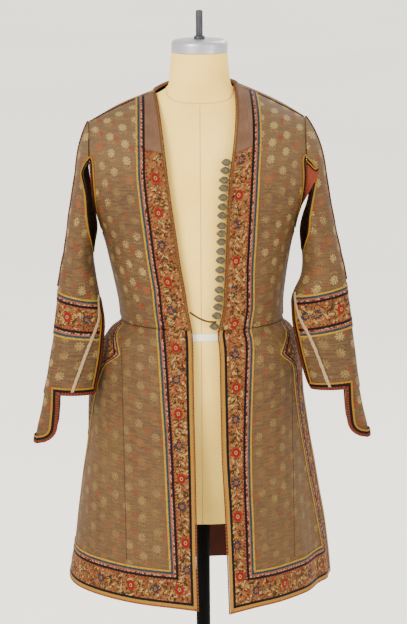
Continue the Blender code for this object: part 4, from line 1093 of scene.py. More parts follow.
def skirt_back_panel():
    grid = []
    for z in skirt_fine_heights():
        halves = {}
        for side in SIDES:
            _, _, seam, middle = level_ends(SKIRT, side, z, SLIT)
            halves[side] = turning_row(middle, seam, 90)
        row = folded("skirt_back", list(reversed(halves["right"])) + halves["left"][1:])
        half, width = row_length(row) / 2, table(SIDE_BORDER, z)
        places = spaced(0.0, width, BAND_COLUMNS)
        places += spaced(width, 2 * half - width, BACK_MIDDLE_COLUMNS)[1:-1]
        places += spaced(2 * half - width, 2 * half, BAND_COLUMNS)
        points = at_distances(row, places)
        for point, place in zip(points, places):
            side = "right" if place < half else "left"
            point.z += side_lift(side, abs(place - half) / half, z)
        grid.append(points)
    return Panel("skirt_back", grid, True)


def bodice_front_panel(side):
    grid = []

    def add(row, z):
        width = table(FRONT_BORDER[side], z)
        places = spaced(0.0, width, BAND_COLUMNS) + spaced(width, row_length(row),
                                                           CHEST_COLUMNS)[1:]
        grid.append(at_distances(row, places))

    for z in spaced(WAIST_Z + SEAM / 2, UNDERARM_Z, WAIST_ROWS):
        front, seam, _, _ = level_ends(BODICE, side, z, SEAM)
        add(turning_row(front, seam, 90), z)
    for part in spaced(0.0, 1.0, SLIT_ROWS)[1:]:
        add(turning_row(*armhole_ends(side, part, back=False)), UNDERARM_Z
            + (CHEST_Z - UNDERARM_Z) * part)
    chest = grid[-1]
    shoulder, sign = SHOULDER[side], SIDES[side]
    seam_length = shoulder.tip_x - shoulder.neck_x
    width = TOP_BORDER[side] / seam_length
    places = spaced(0.0, width, BAND_COLUMNS) + spaced(width, 1.0, CHEST_COLUMNS)[1:]
    top = shoulder_line(side, places)
    for part in spaced(0.0, 1.0, YOKE_FINE_ROWS)[1:]:
        row = []
        for low, high, place in zip(chest, top, places):
            point = yoke_point(low, high, part, FRONT_YOKE_TURN)
            point.x += sign * shoulder.edge_bow * math.sin(math.pi * part) * (1 - place)
            row.append(point)
        grid.append(row)
    return Panel("bodice_front_" + side, grid, side == "right")


def bodice_back_panel():
    neck_columns = BACK_HALF_COLUMNS * NECK_COLUMNS // BACK_COLUMNS
    shares = spaced(0.0, 1.0, BACK_HALF_COLUMNS)
    grid = []

    def add(rows_of_side):
        grid.append(list(reversed(rows_of_side["right"])) + rows_of_side["left"][1:])

    def spread(fine):
        return at_distances(fine, [share * row_length(fine) for share in shares])

    for z in spaced(WAIST_Z + SEAM / 2, UNDERARM_Z, WAIST_ROWS):
        rows = {}
        for side in SIDES:
            _, _, seam, middle = level_ends(BODICE, side, z, SEAM)
            rows[side] = spread(turning_row(middle, seam, 90))
        add(rows)
    for part in spaced(0.0, 1.0, SLIT_ROWS)[1:]:
        rows = {side: spread(turning_row(*armhole_ends(side, part, back=True))) for side in SIDES}
        add(rows)
    chest = rows
    for part in spaced(0.0, 1.0, YOKE_FINE_ROWS)[1:]:
        rows = {}
        for side in SIDES:
            top = back_top_half(side, neck_columns, BACK_HALF_COLUMNS - neck_columns)
            rows[side] = [
                yoke_point(low, high, part, BACK_YOKE_TURN) for low, high in zip(chest[side], top)
            ]
        add(rows)
    return Panel("bodice_back", grid, True)


def sleeve_fine_shares(side):
    cuff = SLEEVE[side][-1]
    total = cuff.front_turn + cuff.back_turn
    start = (cuff.front_turn - CUFF_FLAP[0].turn) / total
    end = start + 2 * CUFF_FLAP[0].turn / total
    return (
        spaced(0.0, start, SLEEVE_EDGE_COLUMNS)
        + spaced(start, end, SLEEVE_FLAP_COLUMNS)[1:]
        + spaced(end, 1.0, SLEEVE_EDGE_COLUMNS)[1:]
    )


def sleeve_shift(side, turn, z):
    """How far creases move the sleeve's cloth out."""
    shift = CLOTH_WAVE * math.sin(turn / 21.0 + z * 61) * math.sin(z * 43 + turn / 40.0)
    for crease in SLEEVE_CREASES:
        if crease.side != side:
            continue
        scale = math.radians(1.0) * MEAN_SLEEVE_RADIUS
        start = np.array([crease.turn0 * scale, crease.z0])
        along = np.array([crease.turn1 * scale, crease.z1]) - start
        way = np.array([turn * scale, z]) - start
        part = min(max(float(way @ along) / float(along @ along), 0.0), 1.0)
        off = float(np.linalg.norm(way - part * along))
        reach = math.exp(-((off / crease.width) ** 2))
        shift += crease.depth * reach * math.sin(math.pi * (part * 0.8 + 0.1))
    return shift


def sleeve_ring(side, z):
    """The sleeve's ring at a height, carried on below the cuff for its flap."""
    cuff = SLEEVE[side][-1]
    if z >= cuff.z:
        return ring_at(side, z)
    lean = read(CUFF_FLAP, "drop", cuff.z - z, "lean")
    return cuff._replace(z=z, outer=cuff.outer + lean, inner=cuff.inner + lean)


def sleeve_spot(side, turn, z, lift=0.0):
    """A place on the forearm's cloth, lifted off it."""
    ring = sleeve_ring(side, z)
    half = (ring.outer - ring.inner) / 2
    angle = math.radians(turn)
    out = Vector((SIDES[side] * math.cos(angle) / half, -math.sin(angle) / ring.depth,
                  0.0)).normalized()
    return ring_point(side, ring, turn) + out * (sleeve_shift(side, turn, z) + lift)


def fine_armhole_line(side, panels):
    chest = WAIST_ROWS + SLIT_ROWS
    front = panels["bodice_front_" + side].points[chest:, -1]
    back = panels["bodice_back"].points[chest:, 0 if side == "right" else -1]
    return [Vector(point) for point in np.concatenate([front, back[::-1]])]


def sleeve_panel(side, panels):
    """The sleeve's rows from the armhole seam to the cuff."""
    shares, rows = sleeve_fine_shares(side), SLEEVE[side]
    first, cuff = rows[0], rows[-1]
    line = fine_armhole_line(side, panels)
    seam = at_distances(line, [share * row_length(line) for share in shares])
    aside = Vector((SIDES[side] * CAP_OUT, 0.0, 0.0))
    total = first.front_turn + first.back_turn
    grid = []
    for part in spaced(0.0, 1.0, CAP_FINE_ROWS)[:-1]:
        out = math.sin(part * CAP_TURN) / math.sin(CAP_TURN)
        down = (1 - math.cos(part * CAP_TURN)) / (1 - math.cos(CAP_TURN))
        drop = CAP_EVEN_DROP * out + (1 - CAP_EVEN_DROP) * down
        row = []
        for share, start in zip(shares, seam):
            start = start + aside
            end = sleeve_spot(side, first.front_turn - share * total, first.z)
            row.append(
                Vector((
                    start.x + (end.x - start.x) * out,
                    start.y + (end.y - start.y) * out,
                    start.z + (end.z - start.z) * drop,
                ))
            )
        grid.append(row)
    for z in spaced(first.z, cuff.z, SLEEVE_FINE_ROWS):
        ring = ring_at(side, z)
        total = ring.front_turn + ring.back_turn
        grid.append([sleeve_spot(side, ring.front_turn - share * total, z) for share in shares])
    return Panel("sleeve_" + side, grid, side == "left")


def sleeve_turns(side, rows):
    """How far round the arm each point of the sleeve's rows is, as a length."""
    shares, first = sleeve_fine_shares(side), SLEEVE[side][0]
    turns = []
    for z in [first.z] * CAP_FINE_ROWS + spaced(first.z, SLEEVE[side][-1].z, SLEEVE_FINE_ROWS):
        ring = ring_at(side, z)
        total = ring.front_turn + ring.back_turn
        turns.append([MEAN_SLEEVE_RADIUS * math.radians(ring.front_turn - share * total)
                      for share in shares])
    return np.array(turns[-rows:])


def sleeve_flap_rows(side):
    cuff = SLEEVE[side][-1]
    rows = []
    for drop in spaced(0.0, CUFF_FLAP[-1].drop, FLAP_FINE_ROWS)[1:]:
        half = read(CUFF_FLAP, "drop", drop, "turn")
        rows.append([
            sleeve_spot(side, half * (1 - 2 * k / SLEEVE_FLAP_COLUMNS), cuff.z - drop)
            for k in range(SLEEVE_FLAP_COLUMNS + 1)
        ])
    return rows


def grid_faces(rows, columns, flip, start=0, keep=None):
    faces = []
    for i in range(rows - 1):
        for j in range(columns - 1):
            if keep and not keep(i, j):
                continue
            a = start + i * columns + j
            face = (a, a + 1, a + columns + 1, a + columns)
            faces.append(face[::-1] if flip else face)
    return faces


def piece(name, points, faces, maps, materials, choice=None):
    """A smooth mesh piece on the root body, with named coordinate maps given per vertex."""
    data = bpy.data.meshes.new(name)
    data.from_pydata([tuple(point) for point in points], [], faces)
    corner = np.empty(len(data.loops), dtype=np.int32)
    data.loops.foreach_get("vertex_index", corner)
    for map_name, values in maps.items():
        layer = data.uv_layers.new(name=map_name)
        layer.data.foreach_set("uv", np.asarray(values, dtype=np.float32)[corner].ravel())
    for material in materials:
        data.materials.append(material)
    if choice is not None:
        data.polygons.foreach_set("material_index", np.asarray(choice, dtype=np.int32))
    data.shade_smooth()
    thing = bpy.data.objects.new(name, data)
    bpy.context.scene.collection.objects.link(thing)
    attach(thing, "root")
    return thing


def wall(thing, thickness, lining=False):
    """Thickness added inwards, with the second material on the inner side."""
    solidify = thing.modifiers.new("wall", "SOLIDIFY")
    solidify.thickness = thickness
    solidify.offset = -1.0
    if lining:
        solidify.material_offset = 1


def panel_piece(panel, name, material, lining, flap=None, turns=None):
    """The whole cloth of a panel, its outer face half a wall off the panel's middle. A sleeve's
    pattern is laid by its turn about the arm and its height."""
    rows, columns = panel.points.shape[:2]
    points = list((panel.points + panel.normals * (WALL / 2)).reshape(-1, 3))
    across, down = (panel.u, panel.v) if turns is None else (turns, -panel.points[:, :, 2])
    maps = list(np.stack([across, down], axis=2).reshape(-1, 2))
    faces = grid_faces(rows, columns, panel.flip)
    if flap:
        upper = [(rows - 1) * columns + SLEEVE_EDGE_COLUMNS + k for k in range(len(flap[0]))]
        for row in flap:
            lower = []
            for k, point in enumerate(row):
                lower.append(len(points))
                before, after = row[max(k - 1, 0)], row[min(k + 1, len(row) - 1)]
                along = (after - before).normalized()
                out = Vector((along.y, -along.x, 0.0)).normalized()
                if panel.flip:
                    out = -out
                points.append(tuple(point + out * (WALL / 2)))
                maps.append((across[-1, SLEEVE_EDGE_COLUMNS + k], -point.z))
            for k in range(len(row) - 1):
                face = (upper[k], upper[k + 1], lower[k + 1], lower[k])
                faces.append(face[::-1] if panel.flip else face)
            upper = lower
    thing = piece(name, points, faces, {"cloth": maps}, [material, lining])
    wall(thing, PANEL_WALL, lining=True)
    return thing


# Places across a border from the field inwards and from the edge inwards.
FIELD_STOPS = [0.0, 0.0005, 0.0018, 0.0031, 0.0037, 0.0052, 0.0067, 0.0087, 0.0105, 0.0121,
               0.0128, 0.0138, 0.0150, 0.0162, 0.0168, 0.0186]
EDGE_STOPS = [0.0, 0.0004, 0.0018, 0.0038, 0.0056, 0.0066, 0.0078, 0.0092, 0.0104, 0.0130]
PIPING_SHARE = 0.0026
BORDER_MIDDLE = 5
BORDER_TOP = 0.0018
BORDER_WALL = 0.0011


def hump(value, low, high):
    """A rounded ridge between two distances, 0 outside."""
    part = (2 * value - low - high) / (high - low)
    return math.sqrt(1 - part * part) if abs(part) < 1 else 0.0


def braid_relief(field, edge):
    """How far the sewn braids of a border stand up."""
    high = 0.0006 * hump(field, 0.0001, 0.0037) + 0.0006 * hump(field, 0.0122, 0.0169)
    high += 0.0004 * hump(field, 0.0036, 0.0074) + 0.0003 * hump(field, 0.0093, 0.0122)
    high += 0.0004 * hump(edge, 0.0030, 0.0086) + 0.0005 * hump(edge, 0.0086, 0.0130)
    return high


def border_stops(width):
    """Distances from the field, across a border of a width."""
    scale = min(1.0, width / 0.0410)
    field = [stop * scale for stop in FIELD_STOPS]
    edge = [width - stop * scale for stop in reversed(EDGE_STOPS)]
    return field + spaced(field[-1], edge[0], BORDER_MIDDLE)[1:-1] + edge


BORDER_STOPS = len(FIELD_STOPS) + len(EDGE_STOPS) + BORDER_MIDDLE - 1


class BorderMesh:
    """A border of one or more runs on a panel, joined into one mesh."""

    def __init__(self, panel, widths):
        self.panel = panel
        self.widths = widths
        self.points, self.faces = [], []
        self.maps = {"cloth": [], "front": [], "hem": [], "side": []}

    def add(self, grid, flip):
        """A run given as rows of lengths across and up."""
        start = len(self.points)
        for row in grid:
            for u, v in row:
                r, c = self.panel.place(u, v)
                front, hem, side = self.widths(u, v, r)
                field = max(front[1], hem[1], side[1])
                edge = min(front[0], hem[0], side[0])
                self.points.append(self.panel.at(r, c, BORDER_TOP + braid_relief(field, edge)))
                for name, value in zip(("cloth", "front", "hem", "side"),
                                       ((u, v), front, hem, side)):
                    self.maps[name].append(value)
        self.faces += grid_faces(len(grid), len(grid[0]), flip != self.panel.flip, start)

    def piece(self, name, material):
        thing = piece(name, self.points, self.faces, self.maps, [material])
        wall(thing, BORDER_WALL)
        return thing


FAR = (0.5, -0.5)


def frame_border(panel, name, material, front_width, side_width):
    """The border down the first edge, along the hem and up the last edge, with mitred corners."""
    stations = panel.station
    top = float(stations[-1])
    heights = panel.points[:, 0, 2]

    def widths(u, v, r):
        z = float(np.interp(v, stations, heights))
        low = min(int(r), len(stations) - 2)
        length = float(panel.u[low, -1] * (1 - (r - low)) + panel.u[low + 1, -1] * (r - low))
        front, side = front_width(z), side_width(z)
        across = PIPING_SHARE if panel.name != "skirt_back" else 0.0
        return (u + across, front - u), (v, HEM_BORDER - v), (length - u, side - (length - u))

    def length_at(v):
        return float(np.interp(v, stations, panel.u[:, -1]))

    mesh = BorderMesh(panel, widths)
    rows = SKIRT_ROWS
    hem_stops = border_stops(HEM_BORDER)
    upright = []
    for k in range(rows + 1):
        part = k / rows
        row = []
        for index in range(BORDER_STOPS):
            low = HEM_BORDER - hem_stops[index]
            v = low + (top - low) * part
            z = float(np.interp(v, stations, heights))
            width = front_width(z)
            row.append((width - border_stops(width)[index], v))
        upright.append(row)
    mesh.add([row[::-1] for row in upright], False)
    upright = []
    for k in range(rows + 1):
        part = k / rows
        row = []
        for index in range(BORDER_STOPS):
            low = HEM_BORDER - hem_stops[index]
            v = low + (top - low) * part
            z = float(np.interp(v, stations, heights))
            width = side_width(z)
            row.append((length_at(v) - (width - border_stops(width)[index]), v))
        upright.append(row)
    mesh.add(upright, False)
    columns = 2 * MIDDLE_COLUMNS if panel.name != "skirt_back" else BACK_MIDDLE_COLUMNS
    level = []
    first, last = front_width(HEM_Z), side_width(HEM_Z)
    first_stops, last_stops = border_stops(first), border_stops(last)
    for index in range(BORDER_STOPS):
        v = HEM_BORDER - hem_stops[index]
        length = length_at(v)
        low, high = first - first_stops[index], length - (last - last_stops[index])
        level.append([(u, v) for u in spaced(low, high, columns)])
    mesh.add(level[::-1], False)
    return mesh.piece(name, material)


# Where the plain facing starts above the flowers, as heights at the edge and at the field.
FACING_START = {"right": (1.2521, 1.2656), "left": (1.2520, 1.2711)}


def front_border_pieces(panel, side, materials):
    """The bodice's front border up to the plain facing, and the facing."""
    stations, heights = panel.station, panel.points[:, 0, 2]
    column = BAND_COLUMNS

    def width_at(v):
        return float(np.interp(v, stations, panel.u[:, column]))

    def widths(u, v, r):
        width = width_at(v)
        return (u + PIPING_SHARE, width - u), FAR, FAR

    def start_of(part):
        """The facing's start at a share of the way from the edge to the field."""
        low, high = FACING_START[side]
        z = low + (high - low) * part
        return float(np.interp(z, heights, stations))

    top = float(stations[-1])
    pieces = []
    for name, low_of, high_of, rows, material in (
        ("flower_border_", lambda part: 0.0, start_of, 64, materials["bodice_border"]),
        ("plain_facing_", lambda part: start_of(part) + 0.0004, lambda part: top, 26,
         materials["facing"]),
    ):
        mesh = BorderMesh(panel, widths)
        grid = []
        for k in range(rows + 1):
            row = []
            for index in range(BORDER_STOPS):
                base = border_stops(0.05)
                part = 1 - base[index] / base[-1]
                v = low_of(part) + (high_of(part) - low_of(part)) * k / rows
                width = width_at(v)
                row.append((width - border_stops(width)[index], v))
            grid.append(row[::-1])
        mesh.add(grid, False)
        pieces.append(mesh.piece(name + side, material))
    return pieces


def tube_mesh(name, route, radius, sides, material, swell=None):
    """A round strand along a route, with its length and turn as coordinates."""
    points, maps, faces = [], [], []
    route = [Vector(point) for point in route]
    normal = None
    passed = 0.0
    for k, point in enumerate(route):
        along = (route[min(k + 1, len(route) - 1)] - route[max(k - 1, 0)]).normalized()
        if normal is None:
            normal = along.orthogonal().normalized()
        normal = (normal - along * normal.dot(along)).normalized()
        other = along.cross(normal)
        passed += (point - route[k - 1]).length if k else 0.0
        size = radius * (swell(k / (len(route) - 1)) if swell else 1.0)
        for s in range(sides + 1):
            angle = 2 * math.pi * s / sides
            points.append(point + (normal * math.cos(angle) + other * math.sin(angle)) * size)
            maps.append((passed, s / sides))
    faces = grid_faces(len(route), sides + 1, True)
    for end, flip in ((0, False), (len(route) - 1, True)):
        ring = [end * (sides + 1) + s for s in range(sides)]
        faces.append(ring if flip else ring[::-1])
    thing = piece(name, points, faces, {"cloth": maps}, [material])
    weld = thing.modifiers.new("close", "WELD")
    weld.merge_threshold = 0.00001
    return thing


class Stitches:
    """Small raised shapes laid on cloth, gathered into one mesh with several threads."""

    def __init__(self, spot):
        self.spot = spot
        self.points, self.faces, self.maps, self.choice = [], [], [], []

    def vertex(self, u, v, lift):
        self.points.append(tuple(self.spot(u, v, lift)))
        self.maps.append((u, v))
        return len(self.points) - 1

    def face(self, corners, thread):
        self.faces.append(corners)
        self.choice.append(thread)

    def bloom(self, u, v, across, along, lobes, scallop, tints, base, turn=0.0, sides=32,
              dome=0.0009):
        """A scalloped round in rings: tints go from the heart to the rim."""
        fractions = [0.22, 0.40, 0.52, 0.78, 1.0][-len(tints):] if len(tints) < 5 else [0.20, 0.36,
                                                                                        0.50, 0.78,
                                                                                        1.0]
        centre = self.vertex(u, v, base + dome)
        before = None
        for fraction, tint in zip(fractions, tints):
            ring = []
            for s in range(sides):
                angle = 2 * math.pi * s / sides
                wave = 1 + scallop * fraction * math.cos(lobes * angle + turn)
                reach = fraction * wave
                lift = base + dome * (1 - fraction**2) * (1
                                                          + 0.25 * math.cos(lobes * angle + turn))
                ring.append(self.vertex(
                    u + across * reach * math.sin(angle), v + along * reach * math.cos(angle), lift
                ))
            for s in range(sides):
                t = (s + 1) % sides
                if before is None:
                    self.face((centre, ring[s], ring[t]), tint)
                else:
                    self.face((before[s], ring[s], ring[t], before[t]), tint)
            before = ring

    def leaf(self, u, v, length, width, turn, tint, base, vein=None):
        """An almond leaf from its foot at u, v, pointing turn radians from straight up."""
        side_u, side_v = math.cos(turn), -math.sin(turn)
        way_u, way_v = math.sin(turn), math.cos(turn)
        rows = []
        steps = 6
        for k in range(steps + 1):
            part = k / steps
            half = width / 2 * math.sin(math.pi * (part**0.8)) + 0.00015
            lean = 0.12 * length * math.sin(math.pi * part)
            cu = u + way_u * length * part + side_u * lean
            cv = v + way_v * length * part + side_v * lean
            rows.append([
                self.vertex(cu - side_u * half, cv - side_v * half, base),
                self.vertex(cu, cv, base + 0.00035 * math.sin(math.pi * part)),
                self.vertex(cu + side_u * half, cv + side_v * half, base),
            ])
        for low, high in zip(rows, rows[1:]):
            self.face((low[0], low[1], high[1], high[0]), tint)
            self.face((low[1], low[2], high[2], high[1]), vein if vein is not None else tint)

    def stem(self, stops, width, tint, base, count=10):
        """A narrow couched line through a few places."""
        chosen = [Vector((u, v, 0.0)) for u, v in stops]
        line = smooth_curve(chosen, count)
        rows = []
        for k, point in enumerate(line):
            along = (line[min(k + 1, count)] - line[max(k - 1, 0)]).normalized()
            side = Vector((along.y, -along.x, 0.0)) * width / 2
            rows.append([
                self.vertex(point.x - side.x, point.y - side.y, base),
                self.vertex(point.x, point.y, base + 0.0003),
                self.vertex(point.x + side.x, point.y + side.y, base),
            ])
        for low, high in zip(rows, rows[1:]):
            self.face((low[0], low[1], high[1], high[0]), tint)
            self.face((low[1], low[2], high[2], high[1]), tint)

    def outward(self):
        """1 where across and up run anticlockwise seen from outside, -1 where clockwise."""
        u, v = self.maps[0]
        step = 0.002
        base = Vector(self.spot(u, v, 0.0))
        across, up = Vector(self.spot(u + step, v, 0.0)) - base, Vector(self.spot(u, v + step,
                                                                                  0.0)) - base
        return 1 if across.cross(up).dot(Vector(self.spot(u, v, step)) - base) > 0 else -1

    def piece(self, name, threads):
        hand = self.outward()
        faces = []
        for face in self.faces:
            flat = [self.maps[corner] for corner in face]
            area = sum(a[0] * b[1] - b[0] * a[1] for a, b in zip(flat, flat[1:] + flat[:1]))
            faces.append(face if area * hand > 0 else face[::-1])
        return piece(name, self.points, faces, {"cloth": self.maps}, threads, self.choice)


RED, NAVY, OLIVE, CREAM, ROSE, YELLOW, BROWN, BRICK, SLATE = range(9)
STITCH_BASE = BORDER_TOP + 0.00015


def red_bloom(cloth, u, v, rng, scale=1.0):
    """A full red flower with an olive and cream heart."""
    cloth.bloom(u, v, 0.0078 * scale, 0.0096 * scale, 9, 0.10, [OLIVE, CREAM, RED, BRICK, RED],
                STITCH_BASE,
                turn=rng.uniform(0, 3))


def blue_bloom(cloth, u, v, rng, scale=1.0):
    """Eight separate blue petals about a red and yellow heart."""
    turn = rng.uniform(0, 0.7)
    for k in range(8):
        angle = turn + math.pi / 4 * k
        foot = 0.0034 * scale
        cloth.leaf(u + foot * math.sin(angle), v + 1.15 * foot * math.cos(angle), 0.0052 * scale,
                   0.0040 * scale,
                   angle, NAVY, STITCH_BASE, SLATE)
    cloth.bloom(u, v, 0.0034 * scale, 0.0039 * scale, 8, 0.10, [RED, YELLOW, BROWN], STITCH_BASE,
                sides=16,
                dome=0.0006)


def sprays(cloth, start, end, rng, reach):
    """Stems, leaves, buds and curls between two blooms."""
    (u0, v0), (u1, v1) = start, end
    way = Vector((u1 - u0, v1 - v0, 0.0))
    length = way.length
    way = way / length
    side = Vector((way.y, -way.x, 0.0))

    def point(along, across):
        return (u0 + way.x * along * length + side.x * across, v0 + way.y * along * length
                + side.y * across)

    bend = rng.choice((-1, 1))
    heading = math.atan2(way.x, way.y)
    cloth.stem([point(0.18, 0), point(0.36, 0.55 * reach * bend),
                point(0.62, -0.55 * reach * bend), point(0.82, 0)],
               0.0010, BROWN, STITCH_BASE, 14)
    # Long split leaves in cream and olive curl off the stem.
    for along, across, turn, tint, size in (
        (0.30, 0.20, 0.9, CREAM, 0.0100), (0.42, -0.10, -0.7, OLIVE, 0.0090),
        (0.50, 0.30, 0.5, CREAM, 0.0085),
        (0.60, -0.30, -1.1, OLIVE, 0.0095), (0.70, -0.05, 1.0, YELLOW, 0.0080),
        (0.34, -0.62, -0.2, ROSE, 0.0065),
        (0.64, 0.66, 0.2, OLIVE, 0.0065),
    ):
        u, v = point(along + rng.uniform(-0.03, 0.03), across * reach * bend)
        cloth.leaf(u, v, size, size * 0.36, heading + turn * bend + rng.uniform(-0.3, 0.3), tint,
                   STITCH_BASE,
                   BROWN if tint == OLIVE else None)
    for along, across, tint in ((0.46, 0.95, RED), (0.54, -0.95, RED), (0.24, 0.85, YELLOW),
                                (0.78, -0.85, CREAM),
                                (0.26, -0.80, SLATE), (0.76, 0.80, OLIVE)):
        u, v = point(along + rng.uniform(-0.03, 0.03), across * reach * bend)
        size = rng.uniform(0.0014, 0.0021)
        cloth.bloom(u, v, size, size, 5, 0.2, [YELLOW, tint], STITCH_BASE, sides=10, dome=0.0004)
    for along, across, turn in ((0.50, 0.0, 1), (0.27, 0.45, -1), (0.74, -0.2, -1)):
        centre = point(along, across * reach * bend)
        spiral = []
        for k in range(5):
            angle = heading + turn * bend * (0.4 + 1.25 * k)
            size = 0.0036 * (1 - 0.17 * k)
            spiral.append((centre[0] + size * math.sin(angle), centre[1] + size * math.cos(angle)))
        cloth.stem(spiral, 0.0008, CREAM, STITCH_BASE, count=9)


def camera():
    data = bpy.data.cameras.new("camera")
    data.sensor_fit = "AUTO"
    data.sensor_width = SENSOR_MM
    data.lens = LENS_MM
    thing = bpy.data.objects.new("camera", data)
    bpy.context.scene.collection.objects.link(thing)
    back = Vector((0.0, -math.cos(CAMERA_PITCH), math.sin(CAMERA_PITCH)))
    thing.location = CAMERA_TARGET + back * CAMERA_DISTANCE
    turn = (CAMERA_TARGET - thing.location).to_track_quat("-Z", "Y")
    thing.rotation_mode = "QUATERNION"
    roll = Quaternion((0.0, 0.0, 1.0), -CAMERA_ROLL)
    thing.rotation_quaternion = turn @ roll
    bpy.context.scene.camera = thing


def button_centres():
    centres = []
    reach = BUTTON_LENGTH / 2 + 2 * PIPING_RADIUS + 2 * GAP
    for drop in BUTTON_DROPS:
        z = BUTTON_TOP_Z - drop
        edge = coarse_edge("left", z)
        centres.append(edge + Vector((-reach, -BUTTON_FORWARD, 0.0)))
    return centres


def coarse_edge(side, z):
    """The front edge's place at a height, on straight runs between the solids' own levels."""
    sign = SIDES[side]
    levels = [WAIST_Z + SEAM / 2, 0.960, 0.990, 1.020, 1.050, 1.080, UNDERARM_Z]
    levels += [UNDERARM_Z + (CHEST_Z - UNDERARM_Z) * k / ARMHOLE_ROWS
               for k in range(1, ARMHOLE_ROWS + 1)]
    line = [Vector((sign * read(BODICE, "z", h, side + "_edge"), read(BODICE, "z", h, "front_y"),
                    h)) for h in levels]
    top = shoulder_line(side, [0.0])[0]
    for k in range(1, YOKE_ROWS + 1):
        point = yoke_point(line[len(levels) - 1], top, k / YOKE_ROWS, FRONT_YOKE_TURN)
        point.x += sign * SHOULDER[side].edge_bow * math.sin(math.pi * k / YOKE_ROWS)
        line.append(point)
    for low, high in zip(line, line[1:]):
        if low.z <= z <= high.z:
            return low.lerp(high, (z - low.z) / (high.z - low.z))
    return line[0]


LOOP_DIAMETER = 0.0033


def loop_cord(materials, centres):
    clear = 2 * PIPING_RADIUS + 2 * GAP + CORD_DIAMETER / 2
    start = coarse_edge("right", CORD_START_Z) + Vector((clear, 0.0, 0.0))
    before = (BUTTON_DEPTH + CORD_DIAMETER) / 2 + GAP
    end = centres[-2] + Vector((0.0, -before, -CORD_END_DROP))
    sag = Vector((0.0, -CORD_FORWARD, -CORD_SAG))
    route = smooth_curve([start, start.lerp(end, 0.35) + sag, start.lerp(end, 0.7) + sag, end],
                         CORD_STEPS)
    curve = bpy.data.curves.new("closing_loop", "CURVE")
    curve.dimensions = "3D"
    curve.bevel_depth = LOOP_DIAMETER / 2
    curve.bevel_resolution = 5
    curve.use_fill_caps = True
    spline = curve.splines.new("POLY")
    spline.points.add(len(route) - 1)
    for target, point in zip(spline.points, route):
        target.co = (*point, 1.0)
    curve.materials.append(materials["loop"])
    thing = bpy.data.objects.new("closing_loop", curve)
    bpy.context.scene.collection.objects.link(thing)
    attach(thing, "root")
    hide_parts("button_loop")
    round(row_length(route), 4)


def make_knots(materials, centres):
    """Knots wound of metal thread, each drawn to a point at its free end."""
    rings, sides = 18, 20
    for number, centre in enumerate(centres):
        rng = random.Random(100 + number)
        phase = rng.uniform(0, 6)
        points, maps = [], []
        for i in range(rings + 1):
            polar = math.pi * i / rings
            along = math.cos(polar)
            taper = 1.0 - BUTTON_TAPER * max(0.0, -along) ** 2
            for s in range(sides + 1):
                angle = 2 * math.pi * s / sides
                ridge = math.sin(polar * 7 + angle * 2
                                 + phase) * 0.5 + math.sin(polar * 5 - angle * 3) * 0.35
                round_off = math.sin(polar)
                swell = 1.0 + 0.075 * ridge * round_off
                points.append(centre + Vector((
                    along * BUTTON_LENGTH / 2,
                    math.sin(angle) * round_off * BUTTON_DEPTH / 2 * taper * swell,
                    math.cos(angle) * round_off * BUTTON_HEIGHT / 2 * taper * swell,
                )))
                maps.append((i / rings, s / sides))
        name = f"knot_{number + 1:02d}"
        thing = piece(name, points, grid_faces(rings + 1, sides + 1, True), {"cloth": maps},
                      [materials["knot"]])
        thing.modifiers.new("close", "WELD").merge_threshold = 0.00002
        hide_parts(f"button_{number + 1:02d}")


def edge_route(panels, side):
    route = []
    sign = SIDES[side]
    for name in ("skirt_front_", "bodice_front_"):
        panel = panels[name + side]
        for point in panel.points[::2, 0]:
            route.append(Vector(point))
    aside = Vector((-sign * (PIPING_RADIUS + GAP), 0.0, 0.0))
    moved = []
    for k, point in enumerate(route):
        along = route[min(k + 1, len(route) - 1)] - route[max(k - 1, 0)]
        moved.append(point + aside + Vector((0.0, -along.z, along.y)).normalized() * 2 * GAP)
    return moved


def pipings(panels, materials):
    for side in SIDES:
        thing = tube_mesh("edge_piping_" + side, edge_route(panels, side), PIPING_RADIUS, 10,
                          materials["piping"])
        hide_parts("front_piping_" + side)
        panel = panels["sleeve_" + side]
        column = SLEEVE_EDGE_COLUMNS + SLEEVE_FLAP_COLUMNS // 2
        arm = SLEEVE[side]
        fine_rows = SLEEVE_FINE_ROWS * (arm[0].z - arm[BAND_TOP_RING].z)
        last = CAP_FINE_ROWS + int(round(fine_rows / (arm[0].z - arm[-1].z)))
        route = [Vector(panel.at(r, column, WALL / 2 + PIPING_RADIUS)) for r in range(0, last)]
        thing = tube_mesh("outer_seam_piping_" + side, route, PIPING_RADIUS, 10,
                          materials["piping"])
        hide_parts("overarm_piping_" + side)
        route = [Vector(panel.at(r, column + 0.75, WALL / 2 + 0.0006)) for r in range(0, last)]
        thing = tube_mesh("outer_seam_cord_" + side, route, 0.0009, 8, materials["dark_cord"])


